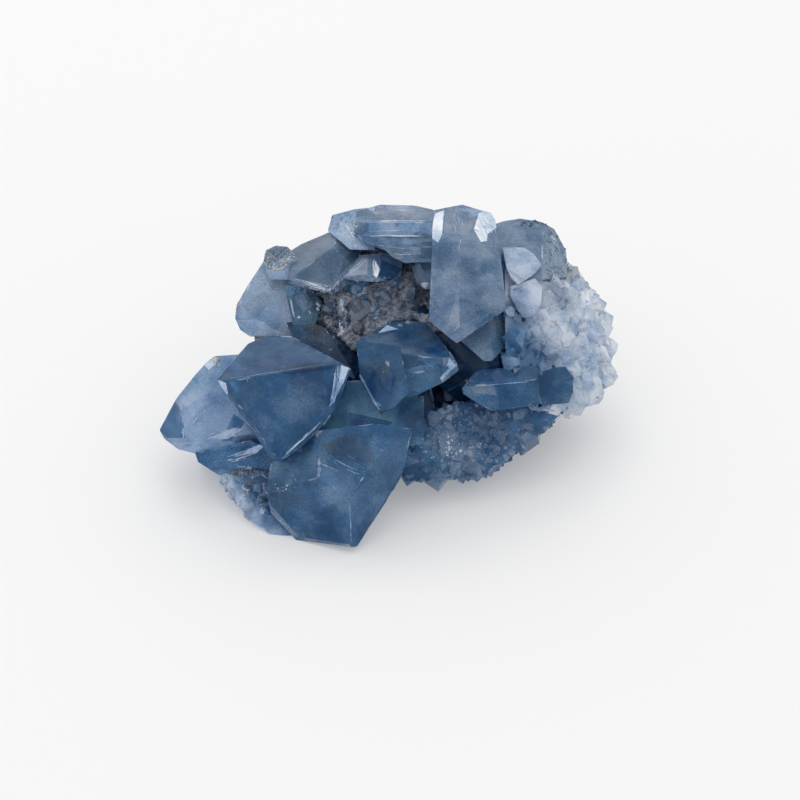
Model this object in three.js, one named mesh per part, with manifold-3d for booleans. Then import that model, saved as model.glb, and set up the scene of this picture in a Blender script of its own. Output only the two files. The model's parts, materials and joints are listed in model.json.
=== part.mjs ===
import * as THREE from 'three';
import { mergeVertices } from 'three/addons/utils/BufferGeometryUtils.js';
import { ImprovedNoise } from 'three/addons/math/ImprovedNoise.js';
import Module from 'manifold-3d';

const wasm = await Module();
wasm.setup();

// Driving sizes, in millimetres and degrees
const LOOK_DOWN = 35;
const EYE_DISTANCE = 500;
const REST_HEIGHT = -11.6;
const GROWTH_GAP = 0.3;
const BLOCK_SIZE = 90;
const ROOT_SLOPE = 42;
const ROOT_REACH = 14;
const HEART_DEPTH = 1;
const BURIED_DEPTH = 1;
const MERGE_DISTANCE = 1e-4;
const RIM_LEAN = THREE.MathUtils.degToRad(4);

// The sheet that crystals are drawn on leans back from the eye, which looks down on the cluster.
const tilt = THREE.MathUtils.degToRad(LOOK_DOWN);
const RIGHT = new THREE.Vector3(1, 0, 0);
const UP = new THREE.Vector3(0, Math.sin(tilt), Math.cos(tilt));
const NEAR = new THREE.Vector3(0, -Math.cos(tilt), Math.sin(tilt));
const EYE = NEAR.clone().multiplyScalar(EYE_DISTANCE);

// Large crystals, drawn as the eye sees them. front: three spots (across, up, near) of the face
// turned to the eye. depth: thickness behind that face. folds: one row for each further face
// in view, with the number of the face that it is folded back from, the two ends (across, up)
// of the edge that they share, and the turn at that edge in degrees. rim: the convex outline.
const LARGE_CRYSTALS = {
  outer_left: {
    front: [[-43, 2.4, 11], [-43.4, -8, 14], [-37.4, 8.8, 9]],
    depth: 12,
    folds: [[0, -44.2, 1, -43.2, -8.2, 50], [0, -43.2, -7.8, -32, -7, 50]],
    rim: [
      [-48.6, -6], [-47.4, -8], [-44.4, -10], [-41, -10.9], [-22, -9], [-22, 9],
      [-31, 9.2], [-37, 8.8], [-38.6, 7.6], [-41, 5], [-45, 0],
    ],
  },
  left_foot: {
    front: [[-38, -10.6, 13], [-29, -10, 15], [-33, -14, 14]],
    depth: 14,
    folds: [[0, -38, -13, -27, -13.6, 35]],
    rim: [[-41, -10.6], [-40.4, -12.4], [-35.6, -15.6], [-27, -15.4], [-24, -11], [-30, -8]],
  },
  left_fringe: {
    front: [[-35, -16, 13], [-27, -15, 16], [-27, -26, 17]],
    depth: 10,
    folds: [[0, -30, -14, -26, -28, 25]],
    rim: [[-36, -15], [-34, -18.6], [-30.2, -24], [-26, -26.8], [-18, -28.2], [-18, -14], [-30, -13]],
  },
  big_left: {
    front: [[-35.6, 3.6, 25], [-24.4, -12, 25], [-11, 7.4, 21]],
    depth: 20,
    folds: [[0, -35.6, 3.6, -11, 7.4, 50], [0, -35.6, 3.6, -24.4, -12, 60]],
    rim: [
      [-36.8, 4.2], [-25.6, -12.2], [-24, -12.2], [-20, -9.8], [-15, -4.8], [-12.2, -0.6],
      [-9.8, 6.2], [-21.6, 13.5], [-27.4, 13.4], [-30.8, 11.8],
    ],
  },
  big_bottom: {
    front: [[-10, -19.4, 27], [-9.8, -29.2, 23], [-25.8, -18.8, 20]],
    depth: 21,
    folds: [
      [0, -10, -19.4, -9.8, -29.2, 62],
      [0, -16.4, -15.6, -10, -19.4, 40],
      [0, -26.6, -18, -16.4, -15.6, 35],
      [1, -8.4, -29, 0, -16, 50],
      [1, -5.4, -8.8, 0.2, -5, 45],
    ],
    rim: [
      [-26.8, -17.8], [-25.8, -22.6], [-20.8, -28], [-9.8, -29.4], [-7.2, -29.6],
      [1, -16.4], [3.8, -4.8], [-5.4, -4], [-18, -6], [-26, -12.6],
    ],
  },
  teal_step: {
    front: [[-10.6, 0.4, 15], [-10.2, -6.4, 16], [-17, -7.4, 14]],
    depth: 15,
    folds: [[0, -10.6, 0.4, -10.2, -6.4, 12]],
    rim: [[-20, 3], [-20, -9], [-5, -10], [5, -9], [5, 1], [-8, 4]],
  },
  back_left: {
    front: [[-30, 23.4, -8], [-30, 12.6, -3], [-21.8, 19, -5]],
    depth: 13,
    folds: [[0, -33, 15.8, -22, 15, 25]],
    rim: [
      [-27.6, 27.6], [-30, 23.6], [-32.6, 19.6], [-33, 16.4], [-32, 14], [-30, 12.6],
      [-18, 12.6], [-18, 28], [-23, 28.4],
    ],
  },
  upper_left_slab: {
    front: [[-22, 23.8, -1], [-13.8, 21.8, 2], [-13.4, 30.6, -3]],
    depth: 12,
    folds: [
      [0, -21.8, 24.4, -13.4, 30.6, 30],
      [0, -13.4, 30.6, -11.4, 28.6, 30],
      [0, -20, 23.6, -13.8, 21.9, 45],
      [0, -13.8, 21.9, -11, 24.9, 45],
    ],
    rim: [
      [-22.4, 23.2], [-13.4, 21], [-7, 24.6], [-8, 31], [-10, 33.9], [-14.4, 33.8],
      [-20, 31.5], [-22.4, 30],
    ],
  },
  bright_wedge: {
    front: [[-11.4, 24.6, 1], [-4.6, 24.2, 3], [-6, 28.8, 0]],
    depth: 14,
    folds: [[0, -3.9, 29, -4.6, 24, 35]],
    rim: [[-11.4, 24.4], [-9, 23.8], [-4.6, 23.6], [0.4, 24.2], [0.8, 28.6], [-3.8, 29.4], [-8, 28.9]],
  },
  top_left_rough: {
    front: [[-14, 34, -5], [-9, 31, 0], [-8, 37.4, -4]],
    depth: 11,
    folds: [[0, -13, 37, -9, 31, 25]],
    rim: [[-14.6, 33.8], [-13.6, 37], [-9, 38.2], [-5, 38.6], [-5, 30], [-10, 30]],
  },
  top_slab: {
    front: [[-8.6, 33.2, 1], [5.8, 33, 2.5], [-5, 35.8, 1]],
    depth: 13,
    folds: [[0, -9, 35.6, 7, 35.6, 50]],
    rim: [[-9.4, 33], [-9, 37.9], [-4, 39.5], [3, 39.3], [7, 38.3], [9, 36], [9, 31], [-6, 31]],
  },
  middle_slab: {
    front: [[-8.4, 32.9, 2.4], [6, 32.9, 3.6], [-1.8, 29.8, 4.2]],
    depth: 14,
    folds: [],
    rim: [[-8.6, 33], [-7.4, 31.4], [-2, 29.6], [7, 29.4], [8, 33]],
  },
  lower_slab: {
    front: [[-1.6, 29.8, 4.6], [6.4, 30.6, 5], [6.6, 28, 6.4]],
    depth: 14,
    folds: [],
    rim: [[-3, 30], [-1.6, 28.6], [1, 27.4], [7, 27.6], [8, 31]],
  },
  tall_pale: {
    front: [[12, 31, 8], [12, 14, 16.6], [20.6, 19, 12.8]],
    depth: 16,
    folds: [
      [0, 11.8, 31, 11.8, 14.8, 16],
      [0, 11.8, 14.8, 20.8, 18.4, 35],
      [0, 8.6, 31.2, 18.4, 30.8, 18],
    ],
    rim: [
      [5.7, 15.8], [11.3, 11.2], [12, 11.6], [20.7, 17.8], [21.3, 19.6], [20.6, 25],
      [19.6, 35], [18.4, 37.6], [12.4, 39.4], [6.6, 38.2],
    ],
  },
  pale_foot: {
    front: [[12, 11.7, 11], [17, 8, 12.5], [17.6, 16.4, 9]],
    depth: 18,
    folds: [[0, 17.6, 16.4, 18.6, 8.2, 35]],
    rim: [[12, 11.9], [16.8, 7.7], [18.4, 7.8], [20.8, 10], [21.6, 14.9], [20.7, 19], [12, 19]],
  },
  centre: {
    front: [[-1, 4.8, 22], [9.6, 6.8, 20.5], [-3.5, 9.5, 19.5]],
    depth: 20,
    folds: [
      [0, -3.6, 9.9, 11, 7.8, 30],
      [0, -1, 4.6, 9.6, 6.8, 35],
      [0, -3.6, 9.6, -0.8, 3.4, 45],
    ],
    rim: [
      [-8.7, 12], [-6, 5], [-1.4, 0.2], [3.6, 0.8], [8.9, 3.5], [11.8, 5.9], [11.2, 8],
      [8, 12.8], [5.6, 15.6], [4, 16.2], [-2, 16.2],
    ],
  },
  centre_tip: {
    front: [[-3.6, 9.6, 19.6], [-0.8, 3.4, 22.3], [-8, 4, 17.2]],
    depth: 18,
    folds: [],
    rim: [[-8.8, 12], [-8, 4], [-5.8, 0.1], [-3.7, -2.4], [-1.4, -1.8], [1.8, 1.6], [0, 11]],
  },
  right_centre: {
    front: [[13, 1.6, 16], [18.4, -1.6, 15.5], [26, 2, 13]],
    depth: 18,
    folds: [[0, 13.4, 2.7, 26, 4, 35]],
    rim: [
      [12.4, 2.4], [12.6, 1.3], [15.1, -0.4], [18.4, -2.2], [28, -1], [27.4, 7], [16.4, 6.3],
      [14.7, 5.4],
    ],
  },
  right_small: {
    front: [[27.5, 5, 9], [33, 6.2, 8], [33.4, 0, 10]],
    depth: 14,
    folds: [],
    rim: [[26.8, 5], [27, -1.2], [33.8, -0.6], [34.6, 1.6], [34.8, 4.6], [33.1, 6.7], [30.8, 6.5]],
  },
  upper_right: {
    front: [[20.6, 30.2, 5], [26.7, 29, 4.5], [23.6, 23.4, 8]],
    depth: 14,
    folds: [[0, 21.2, 26.4, 25.4, 24, 30]],
    rim: [
      [20.4, 30.5], [21.2, 26.6], [22, 24.4], [23.5, 22.9], [26.7, 25], [28.4, 27],
      [26.8, 29.2], [24.8, 30.5],
    ],
  },
  upper_right_wall: {
    front: [[20.4, 31, 0], [28.4, 29, -1], [20.8, 35.4, -3]],
    depth: 12,
    folds: [[0, 28.6, 35.4, 28.4, 25, 40]],
    rim: [
      [18, 24], [34, 24], [33.6, 30], [31, 34.4], [28, 35.7], [24, 36.3], [20.8, 35.8], [18, 35],
    ],
  },
  right_whitish: {
    front: [[22.4, 22.4, 7], [27, 24, 6], [25, 16.8, 8]],
    depth: 14,
    folds: [],
    rim: [
      [22, 22.8], [22, 20.8], [23.4, 18], [24.8, 16.3], [26.8, 16.8], [28.2, 19.2],
      [28.5, 22.4], [27, 24.4],
    ],
  },
  right_bed: {
    front: [[28, 18, 3], [40, 14, -4], [32, 6, 5]],
    depth: 20,
    folds: [[0, 38, 20, 40, 2, 35], [0, 26, 25, 38, 20, 35]],
    rim: [
      [30, 32], [21, 26], [21, 10], [26, -2], [34.6, -2.6], [39.4, 0.6], [41.6, 4],
      [42.6, 10], [41, 18], [36.4, 26],
    ],
  },
  lower_right_bed: {
    front: [[4, -6, 12], [28, -2, 9], [14, -15, 12]],
    depth: 15,
    folds: [],
    rim: [
      [1, -16.3], [13.4, -15.4], [21.6, -13.6], [25, -10.2], [29, -6], [33, -3], [28, 0],
      [14, -0.6], [9, -1.6], [3, -4], [0, -8],
    ],
  },
  cavity_right: {
    front: [[10, 11, 6], [16, 7, 8], [12, 1, 8]],
    depth: 16,
    folds: [[0, 11, 2.6, 17, 6, 40]],
    rim: [[7, 13], [8, 3], [12, -1], [18, 1], [20, 7], [19, 13], [13, 15]],
  },
  cavity_floor: {
    front: [[3, 2, 7], [9, 0, 5], [6, -4, 8]],
    depth: 16,
    folds: [[0, 6, 3, 7.4, -4, 40]],
    rim: [[-2, 6], [0, -6], [8, -6], [13, -1], [12, 5], [5, 8]],
  },
  recess_left: {
    front: [[-22.6, 22.6, -2], [-20.6, 15.8, 0], [-16.4, 19.6, -1]],
    depth: 16,
    folds: [[0, -19.6, 22.6, -17.4, 15.6, 25]],
    rim: [[-23.2, 23], [-21.4, 15], [-17, 14.6], [-15.4, 19.6], [-18.6, 23]],
  },
  recess_foot: {
    front: [[-20, 14, 1], [-14, 9, 5], [-10, 12, 3]],
    depth: 16,
    folds: [[0, -16, 16, -11, 8, 30]],
    rim: [[-23, 15.4], [-19, 9], [-9, 4], [-8, 8], [-11, 12.6], [-16, 15], [-20, 16]],
  },
  back_knob: {
    front: [[-26, 27.4, -7], [-22, 27.4, -6], [-24, 30.4, -8]],
    depth: 9,
    folds: [],
    rim: [[-27.4, 27.4], [-26.8, 30], [-24.8, 30.9], [-22.4, 30.6], [-20, 28], [-22, 24], [-26, 24]],
  },
  recess_right: {
    front: [[2.4, 26, 3], [6.4, 28, 4], [6.4, 23.8, 5]],
    depth: 14,
    folds: [[0, 4, 29.4, 4.6, 23, 30]],
    rim: [[2.2, 26.4], [3.2, 23.4], [6.6, 21.8], [8, 23], [8, 29.4], [4.8, 29.6]],
  },
  back_bed: {
    front: [[-20, 30, -10], [20, 30, -10], [0, 20, -12]],
    depth: 9,
    folds: [],
    rim: [
      [-21, 26], [-13, 31], [0, 34], [14, 34], [24, 31], [30, 26], [33, 20],
      [20, 14], [-16, 14], [-24, 20],
    ],
  },
};

// Beds that small crystals cover: how many are tried all round, half width and height of the
// smallest and of the largest, and the number that their chances start from.
const CRUSTS = [
  { bed: 'right_bed', count: 110, width: [1.5, 2.8], height: [1, 2.6], seed: 11 },
  { bed: 'lower_right_bed', count: 84, width: [1.3, 2.4], height: [0.8, 2], seed: 23 },
  { bed: 'left_fringe', count: 30, width: [1, 1.8], height: [0.5, 1.4], seed: 37 },
  { bed: 'back_bed', count: 50, width: [2.4, 5], height: [1.5, 4.5], seed: 51 },
];
const SPROUT_SINK = 3;
const SPROUT_TWIST = 0.45;
const PRISM_ANGLES = [38, 142, 218, 322];
const DOME_SLOPES = [[0, 38], [180, 38], [90, 52], [270, 52]];
const GOLDEN_ANGLE = Math.PI * (3 - Math.sqrt(5));
const CHANCES_EACH = 7;

// Lumps of rock: middle (across, back, height above the rest plane) and radii.
const ROCK_LUMPS = [
  { middle: [0, 16, 12], radii: [30, 16, 17], detail: 4 },
  { middle: [2, 25, 23], radii: [25, 10, 10], detail: 3 },
  { middle: [-4, 18, 23], radii: [15, 9, 9], detail: 4 },
  { middle: [-22, 7, 10], radii: [12, 12, 10], detail: 3 },
  { middle: [-20, -4, 7], radii: [10, 14, 8], detail: 3 },
  { middle: [-28, -18, 7], radii: [4.5, 5, 4], detail: 3 },
  { middle: [24, 12, 10], radii: [12, 10, 10], detail: 2 },
];
const LUMP_GRAIN = 2.3;
const LUMP_ROUGHNESS = 0.13;
const LUMP_SPREAD = 7.3;
const FINE_GRAIN = 2.7;
const FINE_SHARE = 0.45;

// A point on the sight line through a spot (across, up) of the sheet, nearer the eye than the sheet.
function seen(across, up, near) {
  const shrink = 1 - near / EYE_DISTANCE;
  return new THREE.Vector3()
    .addScaledVector(RIGHT, across * shrink)
    .addScaledVector(UP, up * shrink)
    .addScaledVector(NEAR, near);
}

// Where the sight line through a spot of the sheet meets a face.
function onFace(face, across, up) {
  const sight = seen(across, up, 0).sub(EYE).normalize();
  return new THREE.Ray(EYE, sight).intersectPlane(face, new THREE.Vector3());
}

// The face that turns back from another along an edge, away from the heart of the crystal.
// Without a turn, it runs back along the line of sight and leans in a little.
function foldedFace(face, [startAcross, startUp, endAcross, endUp, turn], heart) {
  const start = onFace(face, startAcross, startUp);
  const along = onFace(face, endAcross, endUp).sub(start).normalize();
  const outward = along.clone().cross(face.normal);
  if (outward.dot(start.clone().sub(heart)) < 0) {
    outward.negate();
  }
  const sight = start.clone().sub(EYE).normalize();
  const slope = Math.atan2(-face.normal.dot(sight), outward.dot(sight));
  const angle = turn === undefined ? slope + RIM_LEAN : THREE.MathUtils.degToRad(turn);
  const normal = face.normal.clone().multiplyScalar(Math.cos(angle));
  normal.addScaledVector(outward, Math.sin(angle));
  return new THREE.Plane().setFromNormalAndCoplanarPoint(normal, start);
}

// All faces of a large crystal, with the heart that they close round.
function largeCrystal({ front, depth, folds, rim }) {
  const corners = front.map((corner) => seen(...corner));
  const face = new THREE.Plane().setFromCoplanarPoints(...corners);
  if (face.distanceToPoint(EYE) < 0) {
    face.negate();
  }
  const heart = new THREE.Vector3();
  for (const corner of corners) {
    heart.addScaledVector(corner, 1 / corners.length);
  }
  heart.addScaledVector(face.normal, -HEART_DEPTH);
  const faces = [face];
  for (const [parent, ...edge] of folds) {
    faces.push(foldedFace(faces[parent], edge, heart));
  }
  rim.forEach((spot, i) => {
    const next = rim[(i + 1) % rim.length];
    faces.push(foldedFace(face, [...spot, ...next], heart));
  });
  const back = new THREE.Plane(face.normal.clone(), face.constant + depth);
  faces.push(back.negate());
  return { faces, heart };
}

// Solids from closed three.js geometries, and back
function solidFrom(geometry) {
  geometry.deleteAttribute('normal');
  geometry.deleteAttribute('uv');
  const merged = mergeVertices(geometry, MERGE_DISTANCE);
  return new wasm.Manifold(new wasm.Mesh({
    numProp: 3,
    vertProperties: new Float32Array(merged.attributes.position.array),
    triVerts: new Uint32Array(merged.index.array),
  }));
}

function geometryFrom(solid) {
  const { vertProperties, triVerts } = solid.getMesh();
  const geometry = new THREE.BufferGeometry();
  geometry.setAttribute('position', new THREE.BufferAttribute(vertProperties, 3));
  geometry.setIndex(new THREE.BufferAttribute(triVerts, 1));
  return geometry;
}

// A block of crystal cut down to its faces, each moved outwards by swell.
function crystalSolid({ faces, heart }, swell = 0) {
  const block = new THREE.BoxGeometry(BLOCK_SIZE, BLOCK_SIZE, BLOCK_SIZE);
  block.translate(heart.x, heart.y, heart.z);
  let solid = solidFrom(block);
  for (const { normal, constant } of faces) {
    solid = solid.trimByPlane([-normal.x, -normal.y, -normal.z], constant - swell);
  }
  return solid;
}

// A repeatable number from 0 to 1.
function chance(number) {
  const value = Math.sin(number * 127.1 + 11.7) * 43758.5453;
  return value - Math.floor(value);
}

function between([low, high], share) {
  return low + (high - low) * share;
}

// A small crystal: a rhombic prism that ends in four sloping faces.
function sprout(root, axis, width, height, spin) {
  const side = new THREE.Vector3(0, 0, 1).cross(axis);
  if (side.length() < 0.1) {
    side.set(1, 0, 0);
  }
  side.cross(axis).normalize();
  const across = (degrees) => side.clone().applyAxisAngle(axis, spin + THREE.MathUtils.degToRad(degrees));
  const faces = PRISM_ANGLES.map((degrees) => {
    const normal = across(degrees);
    const point = root.clone().addScaledVector(normal, width);
    return new THREE.Plane().setFromNormalAndCoplanarPoint(normal, point);
  });
  const tip = root.clone().addScaledVector(axis, height);
  for (const [degrees, slope] of DOME_SLOPES) {
    const lean = THREE.MathUtils.degToRad(slope);
    const normal = across(degrees).multiplyScalar(Math.sin(lean)).addScaledVector(axis, Math.cos(lean));
    faces.push(new THREE.Plane().setFromNormalAndCoplanarPoint(normal, tip));
  }
  const foot = root.clone().addScaledVector(axis, -SPROUT_SINK);
  faces.push(new THREE.Plane().setFromNormalAndCoplanarPoint(axis.clone().negate(), foot));
  return { faces, heart: root };
}

// Where a straight line from inside a crystal comes out of it.
function wayOut(faces, start, direction) {
  let exit = { reach: Infinity };
  for (const face of faces) {
    const speed = face.normal.dot(direction);
    const reach = -face.distanceToPoint(start) / speed;
    if (speed > 0 && reach < exit.reach) {
      exit = { reach, face };
    }
  }
  return exit;
}

function isInside(faces, point, margin) {
  return faces.every((face) => face.distanceToPoint(point) < -margin);
}

const large = {};
for (const [name, drawing] of Object.entries(LARGE_CRYSTALS)) {
  large[name] = largeCrystal(drawing);
}

// Small crystals all round a bed, left out where they would be buried in a larger crystal.
function crust({ bed, count, width, height, seed }) {
  const { faces, heart } = large[bed];
  const others = Object.keys(large).filter((name) => name !== bed);
  const middle = heart.clone().addScaledVector(faces[0].normal, -LARGE_CRYSTALS[bed].depth / 2);
  const sprouts = [];
  for (let i = 0; i < count; i += 1) {
    const lift = 1 - (2 * i + 1) / count;
    const ring = Math.sqrt(1 - lift * lift);
    const turn = i * GOLDEN_ANGLE;
    const out = new THREE.Vector3(Math.cos(turn) * ring, Math.sin(turn) * ring, lift);
    const { reach, face } = wayOut(faces, middle, out);
    const root = middle.clone().addScaledVector(out, reach);
    const draw = (step) => chance(seed + i * CHANCES_EACH + step);
    const twist = [1, 2, 3].map((step) => between([-SPROUT_TWIST, SPROUT_TWIST], draw(step)));
    const axis = face.normal.clone().add(out).add(new THREE.Vector3(...twist)).normalize();
    const small = sprout(
      root,
      axis,
      between(width, draw(4) ** 2),
      between(height, draw(5)),
      draw(6) * Math.PI,
    );
    const buried = others.some((name) => isInside(large[name].faces, root, BURIED_DEPTH));
    if (!buried && root.z > REST_HEIGHT + width[1]) {
      sprouts.push(small);
    }
  }
  return sprouts;
}

const crystals = [...Object.values(large), ...CRUSTS.flatMap(crust)];

// The separate bodies that a solid falls into, largest first
function bodiesOf(solid) {
  return solid.decompose().sort((a, b) => b.volume() - a.volume());
}

// All crystals as one solid, level where the cluster rests, and rooted on a slope inside the
// rock behind them. Pockets that they close in are filled.
function united(swell) {
  const slope = THREE.MathUtils.degToRad(ROOT_SLOPE);
  const grown = crystals
    .map((crystal) => crystalSolid(crystal, swell))
    .reduce((whole, solid) => whole.add(solid))
    .trimByPlane([0, 0, 1], REST_HEIGHT - swell)
    .trimByPlane([0, -Math.cos(slope), Math.sin(slope)], -ROOT_REACH - swell);
  const block = new THREE.BoxGeometry(2 * BLOCK_SIZE, 2 * BLOCK_SIZE, 2 * BLOCK_SIZE);
  const [, ...pockets] = bodiesOf(solidFrom(block).subtract(grown));
  return pockets.reduce((whole, pocket) => whole.add(pocket), grown);
}

// A rough lump of rock
const noise = new ImprovedNoise();

function rockLump({ middle: [across, back, height], radii, detail }, seed) {
  const geometry = new THREE.IcosahedronGeometry(1, detail);
  const spots = geometry.attributes.position;
  const spot = new THREE.Vector3();
  for (let i = 0; i < spots.count; i += 1) {
    spot.fromBufferAttribute(spots, i);
    const coarse = spot.clone().multiplyScalar(LUMP_GRAIN).addScalar(seed * LUMP_SPREAD);
    const fine = coarse.clone().multiplyScalar(FINE_GRAIN);
    const coarseBump = noise.noise(coarse.x, coarse.y, coarse.z);
    const fineBump = noise.noise(fine.x, fine.y, fine.z) * FINE_SHARE;
    spot.multiplyScalar(1 + LUMP_ROUGHNESS * (coarseBump + fineBump));
    spots.setXYZ(i, spot.x * radii[0], spot.y * radii[1], spot.z * radii[2]);
  }
  geometry.translate(across, back, REST_HEIGHT + height);
  return solidFrom(geometry);
}

// The rock that the crystals grew on, hollowed where they sit and level where it rests.
function rock() {
  const whole = ROCK_LUMPS
    .map(rockLump)
    .reduce((sum, lump) => sum.add(lump))
    .trimByPlane([0, 0, 1], REST_HEIGHT)
    .subtract(united(GROWTH_GAP));
  return bodiesOf(whole)[0];
}

const crystalMaterial = new THREE.MeshStandardMaterial({
  color: 0x6f93b4,
  roughness: 0.12,
  metalness: 0,
});
const rockMaterial = new THREE.MeshStandardMaterial({
  color: 0x5d5957,
  roughness: 0.9,
  metalness: 0,
});

const crystalMesh = new THREE.Mesh(geometryFrom(united(0)), crystalMaterial);
crystalMesh.name = 'crystals';
const rockMesh = new THREE.Mesh(geometryFrom(rock()), rockMaterial);
rockMesh.name = 'matrix';

// The origin is on the resting plane, below the middle of the cluster.
const group = new THREE.Group();
group.add(crystalMesh, rockMesh);
const box = new THREE.Box3().setFromObject(group);
const centre = box.getCenter(new THREE.Vector3());
group.position.set(-centre.x, -centre.y, -box.min.z);

export default group;
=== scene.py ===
"""A celestite crystal cluster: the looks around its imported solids."""

import json
import math
from collections import namedtuple

import bmesh
import bpy
from mathutils import Matrix, Quaternion, Vector, noise
from mathutils.bvhtree import BVHTree

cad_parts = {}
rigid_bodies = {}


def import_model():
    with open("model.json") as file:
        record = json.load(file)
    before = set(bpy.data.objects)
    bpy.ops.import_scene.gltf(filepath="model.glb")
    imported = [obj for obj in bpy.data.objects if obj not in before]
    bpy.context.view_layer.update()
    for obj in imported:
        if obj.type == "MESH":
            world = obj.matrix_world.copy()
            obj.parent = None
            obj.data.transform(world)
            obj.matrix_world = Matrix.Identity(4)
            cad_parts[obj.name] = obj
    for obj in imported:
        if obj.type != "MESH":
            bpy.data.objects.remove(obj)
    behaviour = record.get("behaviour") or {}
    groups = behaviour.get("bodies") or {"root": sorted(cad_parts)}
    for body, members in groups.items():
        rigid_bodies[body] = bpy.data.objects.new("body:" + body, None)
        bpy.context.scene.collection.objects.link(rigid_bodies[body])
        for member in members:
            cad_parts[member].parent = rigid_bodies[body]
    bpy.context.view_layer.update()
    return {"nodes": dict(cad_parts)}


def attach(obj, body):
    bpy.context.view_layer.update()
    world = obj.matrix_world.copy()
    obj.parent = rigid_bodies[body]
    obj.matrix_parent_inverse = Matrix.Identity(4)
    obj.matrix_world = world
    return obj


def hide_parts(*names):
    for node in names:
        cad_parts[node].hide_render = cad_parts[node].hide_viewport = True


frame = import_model()

MM = 0.001

# Where the eye is: it looks down on the cluster, and the middle of its view is above the table.
LOOK_DOWN = math.radians(35)
EYE_DISTANCE = 500 * MM
VIEW_MIDDLE = Vector((1.285, -1.468, 11.6)) * MM
RIGHT = Vector((1, 0, 0))
UP = Vector((0, math.sin(LOOK_DOWN), math.cos(LOOK_DOWN)))
NEAR = Vector((0, -math.cos(LOOK_DOWN), math.sin(LOOK_DOWN)))
EYE = VIEW_MIDDLE + NEAR * EYE_DISTANCE
FILM_WIDTH = 36
LENS = 112.5
NEAREST_SEEN = 0.01

# The room: a bright sky on one side, a window lamp and a white table
BRIGHT_SIDE = Vector((-0.45, 0.3, 0.84))
SKY_SPAN = (-0.2, 0.9)
SKY_GLOW = (0.82, 1.12)
WINDOW_PLACE = Vector((-0.175, 0.654, 0.867))
WINDOW_SIZE = 0.45
WINDOW_POWER = 0.8
TABLE_REACH = 3
TABLE_COLOUR = (0.62, 0.62, 0.62, 1)
TABLE_ROUGHNESS = 0.6
TABLE_GLOW = 0.25

# How the large crystals are cut and rooted
BLOCK_SIZE = 90 * MM
ROOT_SLOPE = math.radians(42)
ROOT_REACH = 14 * MM
HEART_DEPTH = 1 * MM
BURIED_DEPTH = 1 * MM
RIM_LEAN = math.radians(4)
WORN_EDGE = 0.12 * MM
HAIRLINE = 0.02 * MM
TINY = 1e-6
DOWN = Vector((0, 0, -1))

# Chips out of their edges: where and how big, then their shape as shares of the size
CHIP_SPACING = 1.8 * MM
CHIP_SIZES = (0.08 * MM, 0.6 * MM)
BIG_CHIP = 0.25 * MM
SHARP_EDGE = math.radians(12)
CHIP_STRETCH = (1.5, 5)
CHIP_RAISE = (0.45, 0.8)
CHIP_RAGGED = 0.5
CHIP_WAVES = 2.1

# Small crystals: a prism of four sides, and four ends, each at an angle round the axis and with
# a slope, in degrees
SPROUT_SINK = 3 * MM
SPROUT_BLOCK = 16 * MM
SPROUT_EDGE = 0.04 * MM
SPROUT_TWIST = 0.45
UPRIGHT = 0.1
PRISM_ANGLES = (38, 142, 218, 322)
DOME_SLOPES = ((0, 38), (180, 38), (90, 52), (270, 52))
GOLDEN_ANGLE = math.pi * (3 - math.sqrt(5))

# Cracks: how each lies in its bundle, as shares of the bundle, and how it waves
SHORTEST_CRACK = 0.15
CRACK_SKEW = 0.4
CRACK_BREADTH = (0.2, 0.8)
CRACK_FLATNESS = 0.9
CRACK_WAVE = 1.6
CRACK_WAVES = 900
# Tones of the cracks: their own whiteness with painted reflection of the light they catch
CRACK_TONES = ("pale", "lilac", "mist", "frost", "white")

# Broken places: how far they stand out of a face and reach into it
PLACE_BLOCK = 20 * MM
PLACE_RISE = 0.05 * MM
PLACE_DEPTH = 0.3 * MM

# Grains, as shares of their size
BIG_GRAIN = 1.0 * MM
GRAIN_SINK = 0.25
GRAIN_WIDTH = (0.6, 1)
GRAIN_HEIGHT = (0.5, 1)
GRAIN_RAGGED = 0.55
GRAIN_WAVES = 1.4
GRAIN_DRIFT = 0.7

# The surface of the rock
ROCK_GRID = 0.5 * MM
ROCK_LUMPS = 1.1 * MM
ROCK_LUMP_WAVES = 350
ROCK_LUMP_OCTAVES = 4
ROCK_CRUMBS = 0.9 * MM
ROCK_CRUMB_WAVES = 900
ROCK_CRUMB_MIDDLE = 0.35
ROCK_SINK = 0.15 * MM

# Repeatable chances: the numbers of the formula, and how far apart their seeds are
CHANCE_STEP = 127.1
CHANCE_START = 11.7
CHANCE_SPREAD = 43758.5453
CHANCES_EACH = 7
CRACK_SEEDS = 997
FIRST_CRACK_DRAW = 11
GRIT_SEEDS = 1009

# Noise in the materials: its middle, then waves per metre, detail and roughness of each
NOISE_MIDDLE = (0.5, 0.5, 0.5)
SWIRLS = (150, 4, 0.5)
DEPTHS = (170, 6, 0.55)
WISPS = (420, 8, 0.7)
SPECKS = (2600, 3, 0.7)
UNEVEN_POLISH = (700, 3, 0.6)
RIPPLES = (500, 3, 0.5)
FINE_RIPPLES = (3000, 2, 0.5)
ROCK_COARSE = (260, 6, 0.6)
ROCK_FINE = (1800, 4, 0.7)

# The crystal: where each pattern sets in and is full, and what it does to the haze
CRYSTAL_IOR = 1.62
CLOUD_WARP = 3 * MM
CLOUD_CORE = 0.25
DEPTH_SPAN = (0.4, 0.62)
DEPTH_SHADE = (0.4, 0.54, 0.68, 1)
WISP_SPAN = (0.5, 0.85)
WISP_LIGHT = (0.14, 0.16, 0.18, 1)
GROWN_BLOCKS = 160
BLOCK_TONES = (0.43, 0.57)
SPECK_SPAN = (0.3, 0.7)
SPECK_TONES = (0.35, 0.65)
POLISH_SPAN = (0.3, 0.7)
RIPPLE_DEPTH = 0.2 * MM

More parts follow.
